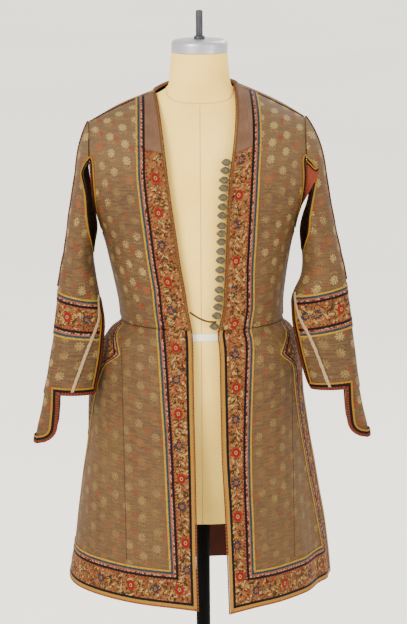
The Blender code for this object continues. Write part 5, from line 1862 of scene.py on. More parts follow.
def seam_cords(panels, materials):
    """Dark cords along the shoulder, waist and armhole seams."""
    runs = []
    for side in SIDES:
        bodice = panels["bodice_front_" + side]
        rows, columns = bodice.points.shape[:2]
        runs.append(("shoulder_cord_" + side,
                     [bodice.at(rows - 1.02, c, 0.0015) for c in np.arange(0, columns - 1.5)],
                     0.0011, "piping"))
        runs.append(("shoulder_dark_cord_" + side,
                     [bodice.at(rows - 1.55, c, 0.0013)
                      for c in np.arange(BAND_COLUMNS, columns - 1.5)],
                     0.0009, "dark_cord"))
        runs.append(("waist_cord_" + side,
                     [bodice.at(0.1, c, 0.0010) for c in np.arange(BAND_COLUMNS, columns - 1.2)],
                     0.0006, "seam"))
        runs.append(("side_seam_cord_" + side,
                     [at_offset(bodice, r, 0.0012, True, 0.0012) for r in range(1, WAIST_ROWS)],
                     0.0011, "piping"))
    back = panels["bodice_back"]
    columns = back.points.shape[1]
    runs.append(("waist_cord_back", [back.at(0.1, c, 0.0010)
                                     for c in np.arange(0.5, columns - 1.5)], 0.0006, "seam"))
    for name, route, radius, material in runs:
        thing = tube_mesh(name, route, radius, 8, materials[material])


BODICE_EDGE = [(0.0000, 0.0042, "rose"), (0.0042, 0.0085, "black"), (0.0085, 0.0122, "yellow")]
SLEEVE_EDGE = [(0.0000, 0.0030, "black"), (0.0030, 0.0058, "yellow")]
OPEN_SLEEVE_Z = 1.0650


def edge_ribbons(name, panel, start, end, bands, last_side, materials):
    """Ribbons sewn along one side edge of a panel, between two of its rows."""
    points, faces, maps, choice = [], [], [], []
    for index, (low, high, _) in enumerate(bands):
        offsets = [low, low + (high - low) * 0.2, (low + high) / 2, high - (high - low) * 0.2,
                   high]
        rows, base = 0, len(points)
        for r in np.arange(start, end + 0.01, 0.5):
            lower = min(int(r), panel.u.shape[0] - 2)
            across = panel.u[lower] * (1 - (r - lower)) + panel.u[lower + 1] * (r - lower)
            for offset in offsets:
                u = across[-1] - offset if last_side else offset
                c = float(np.interp(u, across, np.arange(len(across))))
                points.append(panel.at(r, c, 0.0014
                                       + 0.0006 * hump(offset, low - 0.0001, high + 0.0001)))
                maps.append((r * 0.006, offset))
            rows += 1
        faces += grid_faces(rows, len(offsets), panel.flip == last_side, base)
        choice += [index] * ((rows - 1) * (len(offsets) - 1))
    thing = piece(name, points, faces, {"cloth": maps}, [materials[band[2]] for band in bands],
                  choice)
    wall(thing, 0.0006)


def at_offset(panel, r, offset, last_side, lift):
    """The spot on a row of a panel at a distance in from one side edge."""
    across = panel.u[int(r)]
    u = across[-1] - offset if last_side else offset
    return Vector(panel.at(r, float(np.interp(u, across, np.arange(len(across)))), lift))


def armhole_edging(panels, materials):
    """Ribbons along both edges of each open armhole, with two cords over its top."""
    for side in SIDES:
        sleeve = panels["sleeve_" + side]
        first = SLEEVE[side][0].z
        share = (first - OPEN_SLEEVE_Z) / (first - SLEEVE[side][-1].z)
        end = CAP_FINE_ROWS + round(share * SLEEVE_FINE_ROWS)
        top = WAIST_ROWS + SLIT_ROWS
        for part, name in (("front", "bodice_front_" + side), ("back", "bodice_back")):
            last_side = part == "front" or side == "left"
            edge_ribbons(f"armhole_edging_{part}_{side}", panels[name], WAIST_ROWS, top,
                         BODICE_EDGE, last_side,
                         materials)
            edge_ribbons(f"sleeve_edging_{part}_{side}", sleeve, 1, end, SLEEVE_EDGE,
                         part == "back", materials)
        bodice = panels["bodice_front_" + side]
        for colour, inner, outer, rise in (("yellow", 0.0104, 0.0044, 3.0),
                                           ("black", 0.0064, 0.0015, 1.2)):
            route = smooth_curve([
                at_offset(bodice, top - 0.5, inner, True, 0.0020),
                at_offset(bodice, top + rise * 0.8, inner * 0.85, True, 0.0022),
                at_offset(bodice, top + rise, inner * 0.30, True, 0.0028),
                at_offset(sleeve, 1, outer, False, 0.0026),
                at_offset(sleeve, 3, outer, False, 0.0020),
            ], 6)
            thing = tube_mesh(f"armhole_turn_{colour}_{side}", route, 0.0014, 10,
                              materials[colour])


TURNED_WIDTH = 0.029


def over_sleeve(bodice, sleeve, r, distance):
    """A spot out from the bodice's edge, over the gap, then on the left sleeve."""
    edge = at_offset(bodice, r, 0.0006, True, 0.0010)
    first, cuff = SLEEVE["left"][0].z, SLEEVE["left"][-1].z
    row = CAP_FINE_ROWS + (first - edge.z) / (first - cuff) * SLEEVE_FINE_ROWS
    row = max(1, round(row if edge.z < first else CAP_FINE_ROWS * 0.8))
    rim = at_offset(sleeve, row, 0.0, False, 0.0034)
    gap = (rim - edge).length
    if distance < gap:
        return edge.lerp(rim, distance / gap)
    return at_offset(sleeve, row, distance - gap, False, 0.0034)


def turned_lining(panels, materials):
    """The lining turned out in the wearer's left armhole, narrowing down, with its edging."""
    bodice, sleeve = panels["bodice_front_left"], panels["sleeve_left"]
    top, drop, columns, steps = WAIST_ROWS + SLIT_ROWS - 0.5, 11.0, 12, 20
    points, maps = [], []
    for k in range(steps + 1):
        part = k / steps
        for c in range(columns + 1):
            width = TURNED_WIDTH * (1 - part) + 0.0010
            points.append(over_sleeve(bodice, sleeve, top - drop * part, width * c / columns))
            maps.append((c * 0.002, part * 0.05))
    # The turned-out lining takes the lining cloth's lit colour, painted lighter than the shaded
    # inner lining.
    thing = piece("turned_lining_left", points, grid_faces(steps + 1, columns + 1, True),
                  {"cloth": maps},
                  [materials["lit_lining"]])
    wall(thing, 0.0006)
    for colour, high in (("yellow", 0.0036), ("black", 0.0010)):
        route = [over_sleeve(bodice, sleeve, top, TURNED_WIDTH * c / columns)
                 for c in range(columns + 1)]
        route = [point + Vector((0.0, -0.0008, high)) for point in route]
        thing = tube_mesh(f"turned_edging_{colour}", route, 0.0013, 10, materials[colour])


SKIRT_SEAMS = {"right": [(0.90, 0.1415), (0.42, 0.1330)], "left": [(0.90, 0.1600), (0.42, 0.1640)]}


def skirt_seams(panels, materials):
    """The long seam between the two widths of each skirt front."""
    for side in SIDES:
        panel = panels["skirt_front_" + side]
        (high, high_x), (low, low_x) = SKIRT_SEAMS[side]
        route = []
        for z in np.linspace(high, low, 60):
            x = high_x + (low_x - high_x) * (high - z) / (high - low)
            u, v = panel.find(SIDES[side] * x, float(z))
            if v > HEM_BORDER + 0.002:
                route.append(Vector(panel.spot(u, v, 0.0010)))
        thing = tube_mesh("skirt_seam_" + side, route, 0.0006, 6, materials["seam"])


def sleeve_band(side, materials):
    """The flowered band round the forearm, with the same stripes above and below."""
    top, bottom = SLEEVE[side][BAND_TOP_RING].z, SLEEVE[side][BAND_BOTTOM_RING].z
    height = top - bottom
    stops = FIELD_STOPS + spaced(FIELD_STOPS[-1], height - FIELD_STOPS[-1], 5)[1:-1]
    stops += [height - stop for stop in reversed(FIELD_STOPS)]
    columns = 110
    points, near = [], []
    cloth = []
    for stop in stops:
        z = top - stop
        ring = ring_at(side, z)
        first, last = ring.front_turn - 16.0, -ring.back_turn
        field = min(stop, height - stop)
        for turn in spaced(first, last, columns):
            points.append(sleeve_spot(side, turn, z, BORDER_TOP + braid_relief(field, 1.0)))
            near.append((stop, height - stop))
            cloth.append((math.radians(turn) * MEAN_SLEEVE_RADIUS, -stop))
    thing = piece("forearm_band_" + side, points,
                  grid_faces(len(stops), columns + 1, side == "left"),
                  {"cloth": cloth, "band": near}, [materials["band"]])
    wall(thing, BORDER_WALL)
    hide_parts("sleeve_band_" + side)

    def spot(u, v, lift):
        return sleeve_spot(side, math.degrees(u / MEAN_SLEEVE_RADIUS), v, lift)

    cloth = Stitches(spot)
    rng = random.Random(41 if side == "right" else 57)
    middle = (top + bottom) / 2
    blooms = []
    turns = BAND_BLOOMS[side]
    for turn, kind in turns:
        u = math.radians(turn) * MEAN_SLEEVE_RADIUS
        (red_bloom if kind == "red" else blue_bloom)(cloth, u, middle, rng, 0.92)
        blooms.append((u, middle))
    for start, end in zip(blooms, blooms[1:]):
        sprays(cloth, start, end, rng, 0.0095)
    thing = cloth.piece("forearm_embroidery_" + side, materials["threads"])


# Flowers round each forearm band: turn from the outer side and colour.
BAND_BLOOMS = {
    "right": [(108, "blue"), (62, "red"), (14, "blue"), (-34, "red"), (-82, "blue"),
              (-130, "red")],
    "left": [(124, "blue"), (100, "blue"), (48, "red"), (0, "blue"), (-48, "red"), (-96, "blue"),
             (-144, "red")],
}


def cuff_route(side):
    """The free edge from the front of the forearm round the cuff and its flap to the back."""
    cuff = SLEEVE[side][-1]
    start_z = 0.9900
    route = []
    for z in spaced(start_z, cuff.z, 26):
        route.append((ring_at(side, z).front_turn, z))
    for turn in spaced(cuff.front_turn, CUFF_FLAP[0].turn, 16)[1:]:
        route.append((turn, cuff.z))
    drops = spaced(0.0, CUFF_FLAP[-1].drop, 18)[1:]
    for drop in drops:
        route.append((read(CUFF_FLAP, "drop", drop, "turn"), cuff.z - drop))
    for turn in spaced(CUFF_FLAP[-1].turn, -CUFF_FLAP[-1].turn, 10)[1:-1]:
        route.append((turn, cuff.z - CUFF_FLAP[-1].drop))
    for drop in reversed(drops):
        route.append((-read(CUFF_FLAP, "drop", drop, "turn"), cuff.z - drop))
    for turn in spaced(-CUFF_FLAP[0].turn, -cuff.back_turn, 16):
        route.append((turn, cuff.z))
    for z in spaced(cuff.z, start_z, 26)[1:]:
        route.append((-ring_at(side, z).back_turn, z))
    return [(math.radians(turn) * MEAN_SLEEVE_RADIUS, z) for turn, z in route]


def cuff_edging(side, materials):
    """Rose, black and yellow ribbons on the free edge, mitred at its corners."""
    route = cuff_route(side)
    bands = [(0.0, 0.0055, "rose"), (0.0055, 0.0098, "black"), (0.0098, 0.0130, "yellow")]
    normals = []
    for k in range(len(route)):
        before, after = route[max(k - 1, 0)], route[min(k + 1, len(route) - 1)]
        here = route[k]

        def normal_of(a, b):
            du, dz = b[0] - a[0], b[1] - a[1]
            size = math.hypot(du, dz) or 1.0
            return (dz / size, -du / size)

        one = normal_of(before, here) if k else normal_of(here, after)
        two = normal_of(here, after) if k < len(route) - 1 else one
        mean = ((one[0] + two[0]) / 2, (one[1] + two[1]) / 2)
        size = max(mean[0] ** 2 + mean[1] ** 2, 0.35)
        normals.append((mean[0] / size, mean[1] / size))
    points, faces, maps, choice = [], [], [], []
    for index, (low, high, _) in enumerate(bands):
        offsets = [low, low + (high - low) * 0.2, (low + high) / 2, high - (high - low) * 0.2,
                   high]
        base = len(points)
        passed = 0.0
        for k, ((u, z), (nu, nz)) in enumerate(zip(route, normals)):
            if k:
                passed += math.hypot(u - route[k - 1][0], z - route[k - 1][1])
            for offset in offsets:
                lift = 0.0016 + 0.0005 * hump(offset, low - 0.0001, high + 0.0001)
                turn = math.degrees((u + nu * offset) / MEAN_SLEEVE_RADIUS)
                points.append(sleeve_spot(side, turn, z + nz * offset, lift))
                maps.append((passed, offset))
        faces += grid_faces(len(route), len(offsets), side == "right", base)
        choice += [index] * ((len(route) - 1) * (len(offsets) - 1))
    thing = piece("cuff_braids_" + side, points, faces, {"cloth": maps},
                  [materials[band[2]] for band in bands], choice)
    wall(thing, 0.0009)
    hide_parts("cuff_edging_" + side)


def forearm_tape(side, materials):
    """The worn cream tape down the front of the forearm, frayed at its edges."""
    stations = SLEEVE_TAPE[side]
    rng = random.Random(7 if side == "right" else 8)
    points, maps = [], []
    rows = 60
    offsets = (-0.5, -0.25, 0.0, 0.25, 0.5)
    for k in range(rows + 1):
        z = stations[0].z + (stations[-1].z - stations[0].z) * k / rows
        turn = read(stations, "z", z, "turn")
        ring = ring_at(side, z)
        local = math.sqrt(((ring.outer - ring.inner) / 2 * math.sin(math.radians(turn))) ** 2
                          + (ring.depth * math.cos(math.radians(turn))) ** 2)
        for offset in offsets:
            fray = rng.uniform(-0.0007, 0.0007) if abs(offset) == 0.5 else 0.0
            across = (offset * TAPE_DRAWN_WIDTH + fray) / local
            lift = 0.0036 - 0.0006 * abs(offset) + rng.uniform(-0.0001, 0.0001)
            points.append(sleeve_spot(side, turn + math.degrees(across), z, lift))
            maps.append((k * 0.003, offset))
    thing = piece("forearm_tape_" + side, points,
                  grid_faces(rows + 1, len(offsets), side == "right"),
                  {"cloth": maps}, [materials["cream"]])
    wall(thing, 0.0010)
    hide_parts("sleeve_tape_" + side)


TAPE_DRAWN_WIDTH = 0.0056


HEM_BLOOM_V = 0.0325
HEM_ROW_Z = 0.54
HEM_CORNER_X = 0.075


def border_blooms(panels, materials):
    """The flowers worked on each border, and the sprays between them."""
    for side in SIDES:
        for name, part in (("skirt_front_", "skirt"), ("bodice_front_", "bodice")):
            panel = panels[name + side]
            cloth = Stitches(panel.spot)
            rng = random.Random(11 if side == "right" else 23)
            run = []
            for x, z, kind in BLOOMS[side]:
                if (z < WAIST_Z) != (part == "skirt"):
                    continue
                u, v = panel.find(SIDES[side] * abs(x), z)
                run.append((u, HEM_BLOOM_V if z < HEM_ROW_Z and abs(x) > HEM_CORNER_X else v,
                            kind))
            if part == "skirt":
                length = float(panel.u[0, -1])
                if run[-1][0] < length - 0.060:
                    run.append((length - 0.036, HEM_BLOOM_V, "red"
                                if run[-1][2] == "blue" else "blue"))
                kind = run[-1][2]
                for v in np.arange(0.098, 0.440, 0.0585):
                    kind = "blue" if kind == "red" else "red"
                    r, _ = panel.place(0.0, float(v))
                    z = float(np.interp(v, panel.station, panel.points[:, 0, 2]))
                    here = float(panel.u[int(r), -1])
                    run.append((here - table(SIDE_BORDER, z) / 2 + 0.003, float(v), kind))
            for u, v, kind in run:
                (red_bloom if kind == "red" else blue_bloom)(cloth, u, v, rng)
            for start, end in zip(run, run[1:]):
                sprays(cloth, start[:2], end[:2], rng, 0.0085)
            if part == "bodice":
                first = run[0] if run[0][1] < run[-1][1] else run[-1]
                sprays(cloth, (first[0], 0.002), first[:2], rng, 0.0085)
            thing = cloth.piece(f"{part}_embroidery_{side}", materials["threads"])
    panel = panels["skirt_back"]
    cloth = Stitches(panel.spot)
    rng = random.Random(31)
    run = []
    kind = "red"
    length = float(panel.u[0, -1])
    for v in np.arange(0.425, 0.080, -0.0585):
        z = float(np.interp(v, panel.station, panel.points[:, 0, 2]))
        run.append((table(SIDE_BORDER, z) / 2 - 0.003, float(v), kind))
        kind = "blue" if kind == "red" else "red"
    for u in np.linspace(0.032, length - 0.032, 11):
        run.append((float(u), HEM_BLOOM_V, kind))
        kind = "blue" if kind == "red" else "red"
    for v in np.arange(0.096, 0.440, 0.0585):
        z = float(np.interp(v, panel.station, panel.points[:, 0, 2]))
        r, _ = panel.place(0.0, float(v))
        run.append((float(panel.u[int(r), -1]) - table(SIDE_BORDER, z) / 2 + 0.003, float(v),
                    kind))
        kind = "blue" if kind == "red" else "red"
    for u, v, kind in run:
        (red_bloom if kind == "red" else blue_bloom)(cloth, u, v, rng)
    for start, end in zip(run, run[1:]):
        sprays(cloth, start[:2], end[:2], rng, 0.0085)
    thing = cloth.piece("skirt_back_embroidery", materials["threads"])


# Flower middles on the fronts, top down and then along the hem, as seen from the front.
BLOOMS = {
    "right": [
        (-0.0775, 1.2121, "red"), (-0.0728, 1.1513, "red"), (-0.0677, 1.0940, "blue"),
        (-0.0579, 1.0271, "red"),
        (-0.0531, 0.9748, "blue"), (-0.0449, 0.9093, "red"), (-0.0453, 0.8536, "blue"),
        (-0.0413, 0.7944, "red"),
        (-0.0408, 0.7391, "blue"), (-0.0368, 0.6818, "red"), (-0.0363, 0.6331, "blue"),
        (-0.0304, 0.5704, "red"),
        (-0.0283, 0.5234, "blue"), (-0.0414, 0.4887, "red"), (-0.0837, 0.4925, "blue"),
        (-0.1272, 0.4997, "red"),
        (-0.1809, 0.5123, "blue"),
    ],
    "left": [
        (0.0711, 1.2428, "blue"), (0.0666, 1.1817, "red"), (0.0599, 1.1290, "blue"),
        (0.0609, 1.0643, "red"),
        (0.0560, 1.0117, "blue"), (0.0582, 0.9507, "red"), (0.0589, 0.8964, "blue"),
        (0.0603, 0.8390, "red"),
        (0.0590, 0.7833, "blue"), (0.0591, 0.7263, "red"), (0.0591, 0.6742, "blue"),
        (0.0615, 0.6150, "red"),
        (0.0601, 0.5646, "blue"), (0.0649, 0.5106, "red"), (0.0931, 0.4930, "blue"),
        (0.1435, 0.5100, "red"),
        (0.1885, 0.5219, "blue"),
    ],
}


def neck_border(panel, materials):
    """The band round the back of the neck."""
    middle = BACK_HALF_COLUMNS
    half = BACK_HALF_COLUMNS * NECK_COLUMNS // BACK_COLUMNS
    first_row = WAIST_ROWS + SLIT_ROWS + YOKE_FINE_ROWS * 5 // 7
    last_row = WAIST_ROWS + SLIT_ROWS + YOKE_FINE_ROWS
    width = float(panel.v[last_row, middle] - panel.v[first_row, middle])
    points, fronts, cloth = [], [], []
    stops = border_stops(width)
    columns = spaced(middle - half + 0.02, middle + half - 0.02, 96)
    for stop in stops:
        for c in columns:
            r = first_row + (last_row - 0.05 - first_row) * stop / width
            points.append(panel.at(r, c, BORDER_TOP + braid_relief(stop, width - stop)))
            fronts.append((width - stop, stop))
            low = min(int(c), panel.u.shape[1] - 2)
            u = float(panel.u[int(r), low] * (1 - (c - low))
                      + panel.u[int(r), low + 1] * (c - low))
            cloth.append((u, stop))
    far = [FAR] * len(points)
    thing = piece("nape_border", points, grid_faces(len(stops), len(columns), panel.flip),
                  {"cloth": cloth, "front": fronts, "hem": far, "side": far},
                  [materials["facing"]])
    wall(thing, BORDER_WALL)
    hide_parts("back_neck_border")
    return thing


def fine_form(panels, materials):
    """The canvas half body, smooth, with its middle seam and dart lines sunk in."""
    points, faces = [], []
    for name in ("bodice_front_right", "bodice_front_left", "bodice_back"):
        panel = panels[name]
        rows, columns = panel.points.shape[:2]
        faces += grid_faces(rows, columns, False, len(points))
        points += [tuple(point) for point in panel.points.reshape(-1, 3)]
    coat = BVHTree.FromPolygons(points, faces)
    clear = WALL / 2 + 3 * GAP
    segments = 128
    heights = spaced(FORM_BOTTOM_Z, 1.2800, 66) + spaced(1.2800, NECK_TOP_Z, 44)[1:]
    rings, cloth = [], []
    for z in heights:
        centre = Vector((0.0, 0.0, z))
        ring = []
        passed = 0.0
        for k in range(segments + 1):
            angle = 2 * math.pi * (k % segments) / segments
            point = form_radius(angle, z)
            way = (point - centre).normalized()
            reach = (point - centre).length
            hit, normal, _, distance = coat.ray_cast(centre, way)
            if hit:
                reach = min(reach, distance - clear / max(abs(normal.dot(way)), 0.15))
            near = coat.find_nearest(centre + way * reach, clear)
            while near[3] is not None and near[3] < clear:
                reach -= clear - near[3] + GAP / 2
                near = coat.find_nearest(centre + way * reach, clear)
            front = abs(angle - 1.5 * math.pi)
            reach -= 0.0006 * math.exp(-((front * reach / 0.0012) ** 2))
            for dart in (0.62, -0.62, math.pi + 0.62, math.pi - 0.62):
                off = abs((angle - 1.5 * math.pi - dart + math.pi) % (2 * math.pi) - math.pi)
                reach -= 0.0004 * math.exp(-((off * reach / 0.0016) ** 2))
            spot = centre + way * reach
            passed += (spot - ring[-1]).length if ring else 0.0
            ring.append(spot)
            cloth.append((passed, z))
        rings.append(ring)
    flat = [point for ring in rings for point in ring]
    faces = grid_faces(len(heights), segments + 1, False)
    base = len(flat)
    for index, z in ((0, FORM_BOTTOM_Z), (len(heights) - 1, NECK_TOP_Z)):
        flat.append(Vector((0.0, 0.0, z)))
        cloth.append((0.0, z))
        start = index * (segments + 1)
        for k in range(segments):
            face = (start + k + 1, start + k, base) if index == 0 else (start + k, start + k + 1,
                                                                        base)
            faces.append(face)
        base += 1
    thing = piece("canvas_form", flat, faces, {"cloth": cloth}, [materials["canvas"]])
    thing.modifiers.new("close", "WELD").merge_threshold = 0.00002
    thing.data.set_sharp_from_angle(angle=math.radians(50))
    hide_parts("form_torso")
    return rings, heights


FORM_SEAM_TOP_Z = 1.3335


def form_seams(rings, heights, materials):
    """Stitched seam lines down the middle and round the neck's base."""
    segments = len(rings[0]) - 1
    front = segments * 3 // 4
    route = [rings[k][front] + Vector((0.0, -0.0004, 0.0)) for k in range(0, len(heights))]
    route = [point for point in route if point.z < FORM_SEAM_TOP_Z]
    tube = tube_mesh("form_middle_seam", route, 0.0006, 6, materials["seam_canvas"])
    route = []
    for k in range(segments + 1):
        angle = 2 * math.pi * (k % segments) / segments
        z = 1.3560 - 0.0225 * max(0.0, -math.sin(angle)) ** 2
        low = max(index for index, height in enumerate(heights) if height <= z)
        part = (z - heights[low]) / (heights[low + 1] - heights[low])
        spot = rings[low][k].lerp(rings[low + 1][k], part)
        out = Vector((spot.x, spot.y, 0.0)).normalized()
        route.append(spot + out * 0.0003)
    tube = tube_mesh("form_neck_seam", route, 0.0008, 6, materials["seam_canvas"])


def waist_tape(rings, heights, materials):
    """The white tape round the form's waist, pinned in front."""
    segments = len(rings[0]) - 1
    low_z, high_z = 0.9180, 0.9310
    points, maps = [], []
    steps = 6
    for index in range(steps + 1):
        z = low_z + (high_z - low_z) * index / steps
        low = max(k for k, height in enumerate(heights) if height <= z)
        part = (z - heights[low]) / (heights[low + 1] - heights[low])
        for k in range(segments + 1):
            spot = rings[low][k].lerp(rings[low + 1][k], part)
            spot.z += 0.0008 * math.sin(k * 0.31)
            out = Vector((spot.x, spot.y, 0.0)).normalized()
            points.append(spot + out * (0.0010 + 0.0002 * math.sin(math.pi * index / steps)))
            maps.append((k * 0.0055, z))
    thing = piece("form_tape", points, grid_faces(steps + 1, segments + 1, False), {"cloth": maps},
                  [materials["tape"]])
    wall(thing, 0.0007)
    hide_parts("form_waist_tape")
    return thing


def turned_piece(name, profile, bottom, material, node, steps=72):
    """A solid turned round the upright axis, its corners slightly rounded."""
    rows = []
    for radius, z in profile:
        rows.append((max(radius, 0.0), bottom + z))
    points, maps = [], []
    for radius, z in rows:
        for k in range(steps + 1):
            angle = 2 * math.pi * k / steps
            points.append((radius * math.cos(angle), radius * math.sin(angle), z))
            maps.append((k / steps, z))
    thing = piece(name, points, grid_faces(len(rows), steps + 1, True), {"cloth": maps},
                  [material])
    thing.modifiers.new("close", "WELD").merge_threshold = 0.00002
    bevel = thing.modifiers.new("soft_edges", "BEVEL")
    bevel.width = 0.0006
    bevel.segments = 2
    bevel.limit_method = "ANGLE"
    bevel.angle_limit = math.radians(25)
    thing.data.set_sharp_from_angle(angle=math.radians(40))
    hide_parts(node)
    return thing


def stand_pieces(materials):
    bottom = NECK_TOP_Z + GAP
    turned_piece("neck_cap", CAP_PROFILE, bottom, materials["cap"],
                 "form_neck_cap")
    bottom += CAP_PROFILE[0][1] + GAP
    turned_piece("top_rod", ROD_PROFILE, bottom, materials["rod"], "form_top_rod",
                 40)
    bottom = BASE_HEIGHT + GAP
    height = FORM_BOTTOM_Z - GAP - bottom
    pole = [(0.0, height), (POLE_RADIUS, height), (POLE_RADIUS, 0.0), (0.0, 0.0)]
    turned_piece("pole", pole, bottom, materials["enamel"], "stand_pole", 48)
    turned_piece("base", BASE_PROFILE, 0.0, materials["enamel"], "stand_base", 96)


FLOOR_HALF = 60.0
FLOOR_GLOW = 0.72
ROOM_STRENGTH = 1.75


def studio():
    """A flat pale floor, soft lights and a pale room."""
    data = bpy.data.meshes.new("floor")
    half = FLOOR_HALF
    data.from_pydata([(-half, -half, -0.0002), (half, -half, -0.0002), (half, half, -0.0002),
                      (-half, half, -0.0002)],
                     [], [(0, 1, 2, 3)])
    shade = Shade("studio_floor", roughness=0.95)
    shade.shader.inputs["Emission Color"].default_value = (1.0, 0.97, 0.92, 1.0)
    shade.shader.inputs["Emission Strength"].default_value = FLOOR_GLOW
    data.materials.append(shade.done(shade.mix(shade.noise(0.6, 1.0), srgb(238, 232, 220),
                                               srgb(232, 226, 214))))
    floor = bpy.data.objects.new("floor", data)
    bpy.context.scene.collection.objects.link(floor)
    world = bpy.data.worlds.new("room")
    world.use_nodes = True
    world.node_tree.nodes["Background"].inputs["Color"].default_value = (1.0, 0.98, 0.95, 1.0)
    world.node_tree.nodes["Background"].inputs["Strength"].default_value = ROOM_STRENGTH
    bpy.context.scene.world = world
    for name, place, target, size, power, tint in (
        ("key", (-2.4, -3.6, 3.4), (0.0, 0.0, 0.95), 2.0, 290.0, (1.0, 0.96, 0.90)),
        ("fill", (3.0, -3.2, 1.8), (0.0, 0.0, 0.9), 2.6, 60.0, (0.95, 0.97, 1.0)),
        ("back", (1.6, 2.2, 3.2), (0.0, 0.0, 1.1), 2.0, 70.0, (1.0, 1.0, 1.0)),
    ):
        data = bpy.data.lights.new(name, "AREA")
        data.shape = "SQUARE"
        data.size = size
        data.energy = power
        data.color = tint
        light = bpy.data.objects.new(name, data)
        light.location = place
        light.rotation_euler = (Vector(target) - Vector(place)).to_track_quat("-Z", "Y").to_euler()
        bpy.context.scene.collection.objects.link(light)


def make_materials():
    brown = silk(22, 17, 16)
    lower = [(-0.001, 0.0034, silk(176, 92, 42)), (0.0034, 0.0086, silk(206, 154, 62)),
             (0.0086, 0.0132, brown)]
    upper = [(-0.001, 0.0036, silk(150, 78, 42)), (0.0036, 0.0062, silk(126, 92, 50))]
    materials = {
        "skirt": brocade("skirt_brocade", silk(140, 106, 70), silk(124, 90, 68), 0.30, 0.40, 0.55,
                         3.0),
        "bodice": brocade("bodice_brocade", silk(138, 100, 72), silk(112, 82, 66), 0.80, 0.40,
                          0.85, 5.0),
        "sleeve": brocade("sleeve_brocade", silk(136, 98, 70), silk(112, 80, 62), 0.85, 0.40, 0.85,
                          9.0),
        "skirt_border": border("skirt_flower_border", lower),
        "bodice_border": border("bodice_flower_border", upper),
        "facing": border("plain_neck_facing", upper, facing=True),
        "band": border("forearm_flower_band", [], band=True),
        # One red-brown lining cloth in two copies: the inner lining is painted darker as shade,
        # the copy turned out at the left armhole lighter as lit.
        "lining": plain_cloth("lining", silk(98, 52, 42), silk(76, 40, 34), 0.0012),
        "lit_lining": plain_cloth("lit_lining", silk(190, 92, 66), silk(146, 62, 44), 0.0012),
        "sleeve_lining": plain_cloth("sleeve_lining", silk(150, 110, 86), silk(120, 84, 66),
                                     0.0012),
        "piping": spotted("corded_edge", silk(178, 108, 66), silk(150, 82, 48), silk(42, 26, 20),
                          0.0062),
        "dark_cord": thread("dark_cord", silk(52, 34, 28), silk(24, 16, 14)),
        "seam": thread("seam_cord", silk(112, 86, 66), silk(80, 60, 48)),
        "seam_canvas": thread("canvas_seam", srgb(232, 196, 130), srgb(196, 156, 92), 0.0032),
        "loop": loop_thread(),
        "rose": thread("rose_braid", silk(176, 86, 58), silk(92, 34, 24), 0.0046),
        "black": thread("black_braid", silk(24, 17, 15), silk(9, 6, 6)),
        "yellow": thread("yellow_braid", silk(226, 176, 52), silk(182, 126, 32)),
        "cream": thread("cream_tape_weave", silk(255, 232, 190), silk(226, 190, 138), 0.0012,
                        0.85),
        "tape": plain_cloth("white_tape", srgb(252, 246, 226), srgb(236, 226, 200), 0.0010),
        "knot": knotted(),
        "canvas": canvas(),
        "cap": metal("cap_metal", srgb(176, 176, 180), 0.30, 0.9, 0.2),
        "rod": metal("rod_metal", srgb(70, 70, 74), 0.34, 0.8, 0.2),
        "enamel": metal("black_enamel", srgb(6, 6, 7), 0.50, 0.0, 0.1, 0.04),
    }
    materials["threads"] = [
        stitched("red_silk", silk(204, 52, 26), silk(160, 36, 20)),
        stitched("navy_silk", silk(58, 56, 84), silk(36, 34, 58)),
        stitched("olive_silk", silk(96, 88, 36), silk(62, 60, 24)),
        stitched("cream_silk", silk(234, 204, 138), silk(196, 156, 90)),
        stitched("rose_silk", silk(206, 100, 64), silk(164, 66, 42)),
        stitched("yellow_silk", silk(224, 170, 60), silk(186, 126, 38)),
        stitched("brown_silk", silk(84, 50, 28), silk(52, 30, 20)),
        stitched("brick_silk", silk(176, 38, 22), silk(132, 28, 18)),
        stitched("slate_silk", silk(84, 80, 104), silk(54, 52, 76)),
    ]
    return materials


def coat_cloth(panels, materials):
    """The cut pieces of the coat."""
    pieces = {}
    for side in SIDES:
        for name, cloth in (("skirt_front_", "skirt"), ("bodice_front_", "bodice")):
            thing = panel_piece(panels[name + side], name + side + "_cloth", materials[cloth],
                                materials["lining"])
            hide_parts(name + side)
            pieces[name + side] = thing
        flap = sleeve_flap_rows(side)
        panel = panels["sleeve_" + side]
        thing = panel_piece(panel, f"sleeve_{side}_cloth", materials["sleeve"],
                            materials["sleeve_lining"], flap,
                            sleeve_turns(side, panel.points.shape[0]))
        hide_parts("sleeve_" + side)
        pieces["sleeve_" + side] = thing
    for name, cloth in (("skirt_back", "skirt"), ("bodice_back", "bodice")):
        thing = panel_piece(panels[name], name + "_cloth", materials[cloth], materials["lining"])
        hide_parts(name)
        pieces[name] = thing
    return pieces


# Each sheet's cut: widest, longest, flat area, and how it is held.
CUTS = {
    "skirt_front_right": (0.408, 0.520, 0.151, "hung"),
    "skirt_front_left": (0.325, 0.532, 0.127, "hung"),
    "skirt_back": (0.526, 0.526, 0.237, "hung"),
    "bodice_front_right": (0.204, 0.469, 0.0740, "draped"),
    "bodice_front_left": (0.194, 0.477, 0.0722, "draped"),
    "bodice_back": (0.496, 0.491, 0.189, "draped"),
    "sleeve_right": (0.243, 0.585, 0.102, "hung"),
    "sleeve_left": (0.273, 0.587, 0.107, "hung"),
}
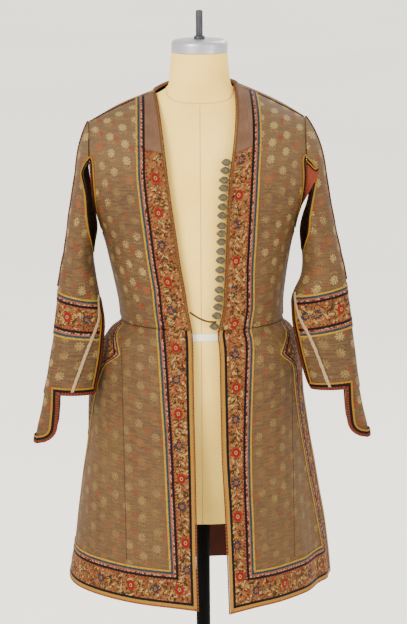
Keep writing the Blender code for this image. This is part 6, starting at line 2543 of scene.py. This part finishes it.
# The start of the names of what is sewn on each sheet.
SEWN_ON = {
    "skirt_front_": ["skirt_flower_border_", "skirt_embroidery_", "skirt_seam_"],
    "bodice_front_": ["flower_border_", "plain_facing_", "bodice_embroidery_",
                      "armhole_edging_front_",
                      "shoulder_cord_", "shoulder_dark_cord_", "waist_cord_", "side_seam_cord_",
                      "edge_piping_",
                      "armhole_turn_yellow_", "armhole_turn_black_"],
    "sleeve_": ["forearm_band_", "forearm_embroidery_", "cuff_braids_", "forearm_tape_",
                "outer_seam_piping_",
                "outer_seam_cord_", "sleeve_edging_front_", "sleeve_edging_back_"],
}
BACK_SEWN_ON = {
    "skirt_back": ["skirt_flower_border_back", "skirt_back_embroidery"],
    "bodice_back": ["nape_border", "armhole_edging_back_left", "armhole_edging_back_right",
                    "waist_cord_back"],
}


def sheets():
    """Look up, for each cloth piece, the objects sewn on it."""
    for name, (width, length, area, held) in CUTS.items():
        side = name.rsplit("_", 1)[1]
        sewn = BACK_SEWN_ON.get(name) or [start + side for start in SEWN_ON[name[:-len(side)]]]
        if name == "bodice_front_left":
            sewn = sewn + ["turned_lining_left", "turned_edging_yellow", "turned_edging_black"]
        if name.startswith("bodice"):
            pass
        elif name.startswith("sleeve"):
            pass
        else:
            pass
        [bpy.data.objects[part] for part in sewn]


def main():
    camera()
    materials = make_materials()
    centres = button_centres()
    loop_cord(materials, centres)
    panels = {"skirt_back": skirt_back_panel(), "bodice_back": bodice_back_panel()}
    for side in SIDES:
        panels["skirt_front_" + side] = skirt_front_panel(side)
        panels["bodice_front_" + side] = bodice_front_panel(side)
    for side in SIDES:
        panels["sleeve_" + side] = sleeve_panel(side, panels)
    cloths = coat_cloth(panels, materials)
    borders = {}
    for side in SIDES:
        thing = frame_border(
            panels["skirt_front_" + side], "skirt_flower_border_" + side,
            materials["skirt_border"],
            lambda z, s=side: table(FRONT_BORDER[s], z), lambda z: table(SIDE_BORDER, z),
        )
        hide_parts("skirt_border_" + side)
        borders["skirt_" + side] = thing
        flowers, facing = front_border_pieces(panels["bodice_front_" + side], side, materials)
        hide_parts("front_border_" + side)
        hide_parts("neck_facing_" + side)
        borders["bodice_" + side] = flowers
        borders["facing_" + side] = facing
        sleeve_band(side, materials)
        cuff_edging(side, materials)
        forearm_tape(side, materials)
    thing = frame_border(
        panels["skirt_back"], "skirt_flower_border_back", materials["skirt_border"],
        lambda z: table(SIDE_BORDER, z), lambda z: table(SIDE_BORDER, z),
    )
    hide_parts("skirt_border_back")
    neck_border(panels["bodice_back"], materials)
    border_blooms(panels, materials)
    pipings(panels, materials)
    seam_cords(panels, materials)
    armhole_edging(panels, materials)
    turned_lining(panels, materials)
    skirt_seams(panels, materials)
    make_knots(materials, centres)
    rings, heights = fine_form(panels, materials)
    form_seams(rings, heights, materials)
    waist_tape(rings, heights, materials)
    stand_pieces(materials)
    sheets()
    studio()


main()
